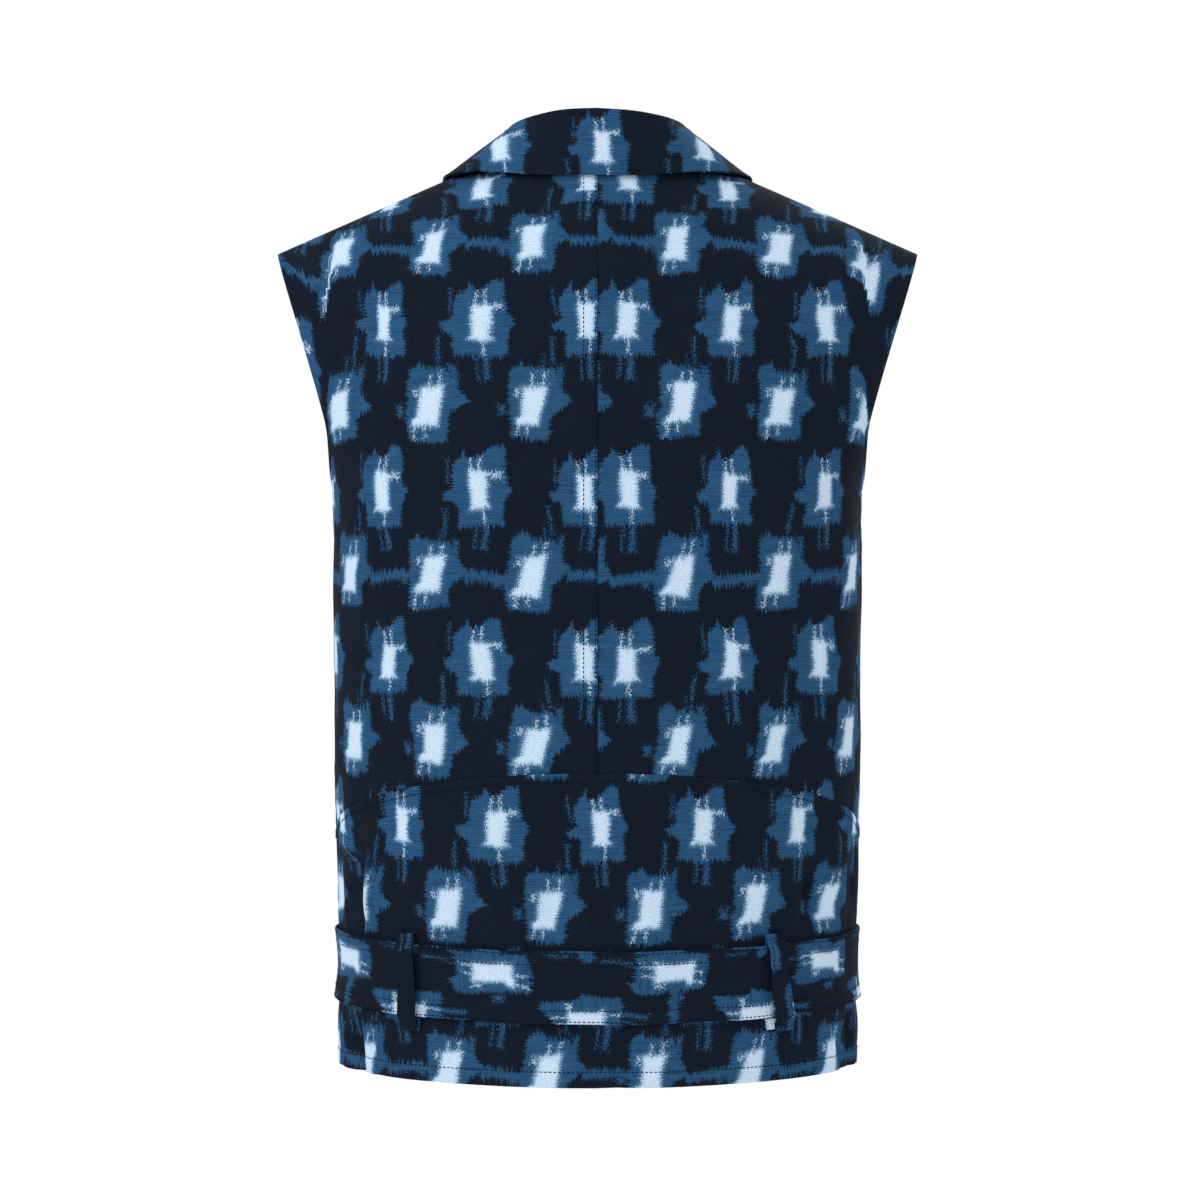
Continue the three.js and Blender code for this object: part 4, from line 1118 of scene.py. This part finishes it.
def collarHalf(place):
    seam = collarSeam(place)
    crest = collarCrest(place)
    edge = collarEdge(place)
    edgeZ = np.where(place > corner, seam[:, 2], collarRows["frontSeamZ"][0])
    point, alongEdge, outEdge, acrossEdge = frontEdge(edgeZ, 1)
    along = collarCrest(place + 0.1) - collarCrest(place - 0.1)
    along = np.where((place < 0.1)[:, None], np.array([1.0, 0, 0]), along)
    stand = crest - seam
    outward = unit(np.cross(along, stand))
    towards = lerp(unit(edge - crest), outEdge, ease(5.2, 6.4, place)[:, None])
    outward = turned(outward, (outward * towards).sum(axis=1))
    up = unit(stand)
    away = unit(lerp(up, acrossEdge, ease(5, 6, place)[:, None]))
    base = seam + away * (cloth["seamGap"] + 0.5)
    radius = roll["radius"]
    bend = crest - up * radius
    columns = [lerp(base, bend, s) for s in np.linspace(0, 1, 8)[:-1]]
    centre = crest + outward * radius - up * radius
    for k in range(roll["steps"] + 1):
        turn = math.pi * k / roll["steps"]
        columns.append(centre + up * radius * math.sin(turn) - outward * radius * math.cos(turn))
    start = columns[-1]
    middle = lerp(start, edge, 0.5) + outward * alongTable(collarPlaces, collarRows["bow"], place)[:, None]
    clear = cloth["cadWall"] / 2 + cloth["layerGap"] + cloth["cadCollar"] / 2 + 0.2
    toNotch = (np.clip((place - gorge["from"]) / (8 - gorge["from"]), 0, 1) ** 1.5)[:, None]
    straight = lerp(start, edge, gorge["share"])
    notchX, notchZ = gorge["notch"]
    laidLift = alongTable(collarPlaces, collarRows["lift"], place)
    toKink = np.linspace(0, gorge["share"], 15)[1:]
    shares = np.concatenate([toKink, np.linspace(gorge["share"], 1, 11)[1:]])
    for s in shares:
        early = lerp(start, middle, s)
        spot = lerp(early, lerp(middle, edge, s), s)
        kink = s / gorge["share"] if s < gorge["share"] else (1 - s) / (1 - gorge["share"])
        shift = np.stack([notchX - straight[:, 0], 0 * place, notchZ - straight[:, 2]], axis=-1)
        spot = spot + shift * kink * toNotch
        laid = onBody(spot[:, 0], spot[:, 2], False, laidLift)
        spot = lerp(spot, laid, ease(0, 0.4, s) * toNotch)
        columns.append(keepClearEvenly(spot, 1, clear))
    return np.stack(columns, axis=1)


def collarPiece():
    right = collarHalf(np.linspace(0, 8, 82))
    left = right[:0:-1] * np.array([-1, 1, 1])
    points = np.concatenate([left, right], axis=0)
    points[..., 2] += 0.35 * np.sin(points[..., 0] / 13.0 + 0.7) * ease(10, 30, rowLengths(points))
    drops = rowLengths(points)
    middle = columnLengths(points)[:, -14]
    fall = drops[:, -1:] - drops
    s = (middle - middle[len(middle) // 2])[:, None] + 0 * drops
    aroundNeck = ease(3.4, 5.4, np.abs(np.linspace(-8, 8, len(points))))[:, None]
    across = lerp((points[..., 0] + 3.4) * 1.02, s + 3.0, aroundNeck)
    return points, np.stack([-across, (fall - 20) * 1.08], axis=-1)


collarPoints, collarPrint = collarPiece()
collar = makeCloth("collarCloth", collarPoints[:, ::-1], collarPrint[:, ::-1], 1.7, 0.4)
place(collar, "collar", printCloth)
print("collar made")

# Belt: one strip from the slide round the waist, with its end lapped over the start in front
belt = {"sideRise": 3, "layer": 3.5, "over": 6.4, "rampIn": 3, "rampOut": 19, "tailX": 112, "tip": 24,
        "thick": 2.2, "rows": [1.6, 9.0], "evenFrom": -55, "even": 0.93}
beltMiddle = (levels["beltTop"] + levels["beltBottom"]) / 2


def overLap(x):
    return closing["rightLift"] * np.where(x < 27, ease(-92, -42, x), ease(90, 27, x))


def beltStations():
    def angleAt(x):
        return torsoAngle(np.abs(x), beltMiddle, False)

    def over(x):
        return belt["over"] * ease(belt["rampOut"], belt["rampIn"], np.abs(x))

    start = np.concatenate([np.arange(3, 28, 1.5), np.arange(30, 80, 4)])
    around = np.linspace(-angleAt(80), angleAt(80), 230)
    end = np.concatenate([np.arange(76, 28, -4), np.arange(27, 0.5, -1.5)])
    tail = np.concatenate([np.arange(1, 27, 1.5), np.arange(29, 88, 4), np.arange(89, 111.6, 1.5)])
    zero = np.zeros_like
    angle = np.concatenate([-angleAt(start), around, angleAt(end), 2 * math.pi - angleAt(tail)])
    out = np.concatenate([over(start), zero(around), over(end) + belt["layer"] * ease(19, 3, end),
                          over(tail) + belt["layer"]])
    left = np.clip((belt["tailX"] - tail) / belt["tip"], 0, 1) ** 0.55
    share = np.concatenate([zero(start) + 1, zero(around) + 1, zero(end) + 1, left])
    return angle, out, share


def beltPoints(angle, out, share, t, extra=0.0):
    base = cloth["cadWall"] / 2 + cloth["layerGap"] + cloth["cadBelt"] / 2 + 0.3
    half = (levels["beltTop"] - levels["beltBottom"]) / 2
    z = beltMiddle + half * share * (1 - 2 * t)
    wrapped = np.where(angle > math.pi, angle - 2 * math.pi, angle)
    x = sectionX(np.abs(wrapped), beltMiddle) * np.sign(wrapped)
    step = np.where(np.cos(angle) < 0, overLap(x), 0.0)
    turn = np.degrees(wrapped)
    slack = 0.5 * np.sin(turn * 0.19 + 1.0) + 0.25 * np.sin(turn * 0.47)
    edges = 0.28 * np.cos(2 * math.pi * (t - 0.5)) * np.sin(turn * 0.31 + z * 0.05)
    points = torso(wrapped, z, base + step + out + 0.35 * slack + edges + extra, 0)
    points[..., 2] += belt["sideRise"] * np.sin(angle) ** 2 + 0.35 * np.sin(turn * 0.23 + 0.4)
    return points


beltAngle, beltOut, beltShare = beltStations()
beltAcross = np.array([0, 0.02, 0.05, 0.11, 0.19, 0.3, 0.42, 0.5, 0.58, 0.7, 0.81, 0.89, 0.95, 0.98, 1.0])
beltGrid = beltPoints(beltAngle[:, None], beltOut[:, None], beltShare[:, None], beltAcross[None, :])
beltLengths = columnLengths(beltGrid)[:, 7]
atBack = np.interp(0, beltAngle, beltLengths)
beltHeight = (levels["beltTop"] - levels["beltBottom"]) * (1 - beltAcross)[None, :] + 0 * beltLengths[:, None]
beltAlong = beltLengths[:, None] - atBack - 5
beltAlong = np.where(beltAlong > belt["evenFrom"], lerp(belt["evenFrom"], beltAlong, belt["even"]), beltAlong)
beltTurn = (beltAlong / printed["up"] - 0.5) * 2 * math.pi
beltSlant = 0.075 * printed["up"] / (2 * math.pi) * (np.sin(beltTurn) + 0.5 * np.sin(2 * beltTurn))
beltPrint = np.stack([(beltHeight - 3.6) * 1.15 + beltSlant, beltAlong + 0 * beltHeight], axis=-1)
beltCloth = makeCloth("beltCloth", beltGrid[:, ::-1], beltPrint[:, ::-1], belt["thick"], 0.7)
place(beltCloth, "belt", printCloth)
print("belt made")

# Belt loops: a folded strip, turned under and sewn down at both ends, that stands off the belt
loops = {
    "top": -534, "bottom": -597, "wide": 13.4, "mmPerDegree": 2.6, "bulge": 9, "thick": 1.5, "turnUnder": 7,
    "places": [("beltLoopLeft", "belt_loop_left", 44.4, 1.0, (-6.7, 21), 0.0),
               ("beltLoopRight", "belt_loop_right", -42.2, 2.8, (10.5, 46), 5.5)],
}


def loopProfile():
    low = cloth["cadWall"] / 2 + 1.0
    top, bottom = loops["top"], loops["bottom"]
    foldRadius = 1.1
    path = [(bottom + loops["turnUnder"] * (1 - s), low) for s in np.linspace(0, 1, 5)[:-1]]
    for k in range(6):
        a = math.pi * k / 5
        path.append((bottom - foldRadius * math.sin(a), low + foldRadius * (1 - math.cos(a))))
    sewn = low + 2 * foldRadius
    for t in np.linspace(0, 1, 30)[1:-1]:
        arch = ease(0.03, 0.15, t) * ease(0.97, 0.85, t)
        path.append((lerp(bottom, top, t), sewn + (loops["bulge"] - low - 2 * foldRadius) * arch))
    for k in range(6):
        a = math.pi * k / 5
        path.append((top + foldRadius * math.sin(a), low + foldRadius * (1 + math.cos(a))))
    path.extend((top - loops["turnUnder"] * s, low) for s in np.linspace(0, 1, 5)[1:])
    return np.array(path)


# The turned-under end of the right loop peeps out at its left
def loopPoints(at, lean, s, extra=0.0, peep=0.0):
    path = loopProfile()
    z = path[:, 0][:, None]
    share = (z - loops["bottom"]) / (loops["top"] - loops["bottom"])
    under = ease(9, 4, np.arange(len(path)))[:, None]
    aside = (s[None, :] - 0.5) * loops["wide"] - peep * under
    angle = at + lean * (share - 0.5) - aside / loops["mmPerDegree"]
    crown = 0.35 * (1 - (2 * s[None, :] - 1) ** 2)
    return torso(np.radians(angle), z, path[:, 1][:, None] + crown + extra, 0)


loopAcross = np.array([0, 0.04, 0.1, 0.2, 0.35, 0.5, 0.65, 0.8, 0.9, 0.96, 1.0])
for name, node, at, lean, printShift, peep in loops["places"]:
    strip = loopPoints(at, lean, loopAcross, 0.0, peep)
    along = columnLengths(strip)[:, 5]
    stripPrint = np.stack([loops["wide"] * loopAcross[None, :] + printShift[0] + 0 * along[:, None],
                           along[:, None] * 0.8 + printShift[1] + 0 * loopAcross[None, :]], axis=-1)
    if peep:
        stripPrint[:6, :, 0] = 10 * loopAcross[None, :] - 5
        stripPrint[:6, :, 1] = along[:6, None] - 4
    beltLoop = makeCloth(name, strip, stripPrint, loops["thick"], 0.4)
    place(beltLoop, node, printCloth)
    lines = []
    for s in (0.14, 0.86):
        line = loopPoints(at, lean, np.array([s - 0.05, s, s + 0.05]), loops["thick"] / 2, peep)
        ups = np.gradient(line[:, 1], axis=0)
        outs = unit(np.cross(line[:, 2] - line[:, 0], ups))
        lines.append((line[9:-9, 1], outs[9:-9]))
    sew(name + "Stitches", lines)
print("loops made")

# Slide: a flat metal frame with a bar down its middle, which the belt passes through
slide = {"wide": 48, "high": 62, "bar": 4, "centreBar": 3, "thick": 2.5, "corner": 6, "bevel": 0.5,
         "out": 7.0}


def roundedBlock(name, wide, high, deep, corner, centre):
    deselectAll()
    bpy.ops.mesh.primitive_cube_add(size=1.0, location=tuple(c * mm for c in centre))
    block = bpy.context.active_object
    block.name = name
    bpy.ops.transform.resize(value=(wide * mm, deep * mm, high * mm))
    bpy.ops.object.transform_apply(location=True, rotation=False, scale=True)
    bpy.ops.object.mode_set(mode="EDIT")
    bpy.ops.mesh.select_mode(type="EDGE")
    bpy.ops.mesh.select_all(action="DESELECT")
    bpy.ops.object.mode_set(mode="OBJECT")
    for edge in block.data.edges:
        a, b = (block.data.vertices[k].co for k in edge.vertices)
        edge.select = abs(a.y - b.y) > abs(a.x - b.x) + abs(a.z - b.z)
    bpy.ops.object.mode_set(mode="EDIT")
    bpy.ops.mesh.bevel(offset=corner * mm, segments=5, affect="EDGES")
    bpy.ops.object.mode_set(mode="OBJECT")
    return block


slideY = -(float(section("front", beltMiddle)) + cloth["cadWall"] / 2 + cloth["layerGap"]
           + cloth["cadBelt"] / 2 + 0.3 + closing["rightLift"] + slide["out"])
slideFrame = roundedBlock("slide", slide["wide"], slide["high"], slide["thick"], slide["corner"],
                          (0, slideY, beltMiddle))
openWide = (slide["wide"] - 2 * slide["bar"] - slide["centreBar"]) / 2
for side in (1, -1):
    cutter = roundedBlock("slideOpening", openWide, slide["high"] - 2 * slide["bar"], slide["thick"] * 3, 2.5,
                          (side * (slide["centreBar"] + openWide) / 2, slideY, beltMiddle))
    modify(slideFrame, "BOOLEAN", object=cutter, operation="DIFFERENCE", solver="EXACT")
    bpy.data.objects.remove(cutter)
modify(slideFrame, "BEVEL", width=slide["bevel"] * mm, segments=3, limit_method="ANGLE",
       angle_limit=math.radians(40))
deselectAll()
slideFrame.select_set(True)
bpy.context.view_layer.objects.active = slideFrame
bpy.ops.object.shade_smooth_by_angle(angle=math.radians(35))
place(slideFrame, "buckle", dullMetal, "buckle_metal")
print("slide made")


# Sewing that shows: rows along the seams, hem, belt and closing edge
def backAt(x, z, extra):
    share = shareAt(x, z, True)
    lift = centreLift(np.abs(x), 1) + extra
    high = upper(x, np.clip(share, 0, 1), True, lift)
    lowZ = np.minimum(z, levels["underarm"])
    low = torso(torsoAngle(x, lowZ, True), lowZ, lift)
    return np.where((z > levels["underarm"])[:, None], high, low)


def outOf(points, sideways):
    outs = unit(np.cross(np.gradient(points, axis=0), sideways - points))
    away = points * np.array([1, 1, 0])
    return turned(outs, (outs * away).sum(axis=1))


surfaceLift = cloth["wall"] / 2
centreZ = np.linspace(backSeam["centreZ"] + 1, -12, 240)
centreRows = []
for x in (1.1, 9.2):
    line = backAt(0 * centreZ + x, centreZ, surfaceLift)
    centreRows.append((line, outOf(line, backAt(0 * centreZ + x + 1.5, centreZ, surfaceLift))))
sew("centreBackStitches", centreRows)

archAngles = np.linspace(-math.pi / 2 + 0.01, math.pi / 2 - 0.01, 400)
archLift = surfaceLift + lowBack["topLift"]
archLine = torso(archAngles, archZ(archAngles) - lowBack["topBand"], archLift)
archBelow = torso(archAngles, archZ(archAngles) - lowBack["topBand"] - 1.5, archLift)
sew("backSeamStitches", [(archLine, outOf(archLine, archBelow))])

hemZ = levels["hem"] + lowBack["hemFold"]
hemRows = []
hemSpans = [(-math.pi / 2 + 0.01, math.pi / 2 - 0.01, 0),
            (math.pi / 2 + 0.01, math.pi + 0.12, 1),
            (-math.pi / 2 - 0.01, -math.pi - 0.12, -1)]
for start, end, side in hemSpans:
    angles = np.linspace(start, end, 420)
    x = sectionX(np.abs(angles), np.full(420, hemZ)) * np.sign(angles)
    lift = surfaceLift + 0.45 * lowBack["hemLift"] + (frontLift(x, side) if side else 0)
    line = torso(angles, np.full(420, hemZ), lift)
    above = torso(angles, np.full(420, hemZ + 1.5), lift)
    hemRows.append((line, outOf(line, above)))
sew("hemStitches", hemRows)

beltRows = []
beltWide = levels["beltTop"] - levels["beltBottom"]
for far in belt["rows"]:
    for t in (far / beltWide, 1 - far / beltWide):
        line = beltPoints(beltAngle, beltOut, beltShare, t, belt["thick"] / 2)
        beside = beltPoints(beltAngle, beltOut, beltShare, t + 0.03, belt["thick"] / 2)
        beltRows.append((line, outOf(line, beside)))
sew("beltStitches", beltRows)

edgeZ = np.linspace(levels["hem"] + 3, levels["breakPoint"] - 4, 260)
edgeRows = []
for inset in (2.0, 8.0):
    x = -(frontEdgeX(edgeZ) + inset)
    line = torso(-torsoAngle(-x, edgeZ, False), edgeZ, frontLift(x, -1) + surfaceLift)
    beside = torso(-torsoAngle(-x + 1.5, edgeZ, False), edgeZ, frontLift(x, -1) + surfaceLift)
    edgeRows.append((line, outOf(line, beside)))
sew("closingStitches", edgeRows)
print("sewing made")

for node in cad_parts.values():
    if not node.hide_render and not node.data.materials:
        node.data.materials.append(printCloth)
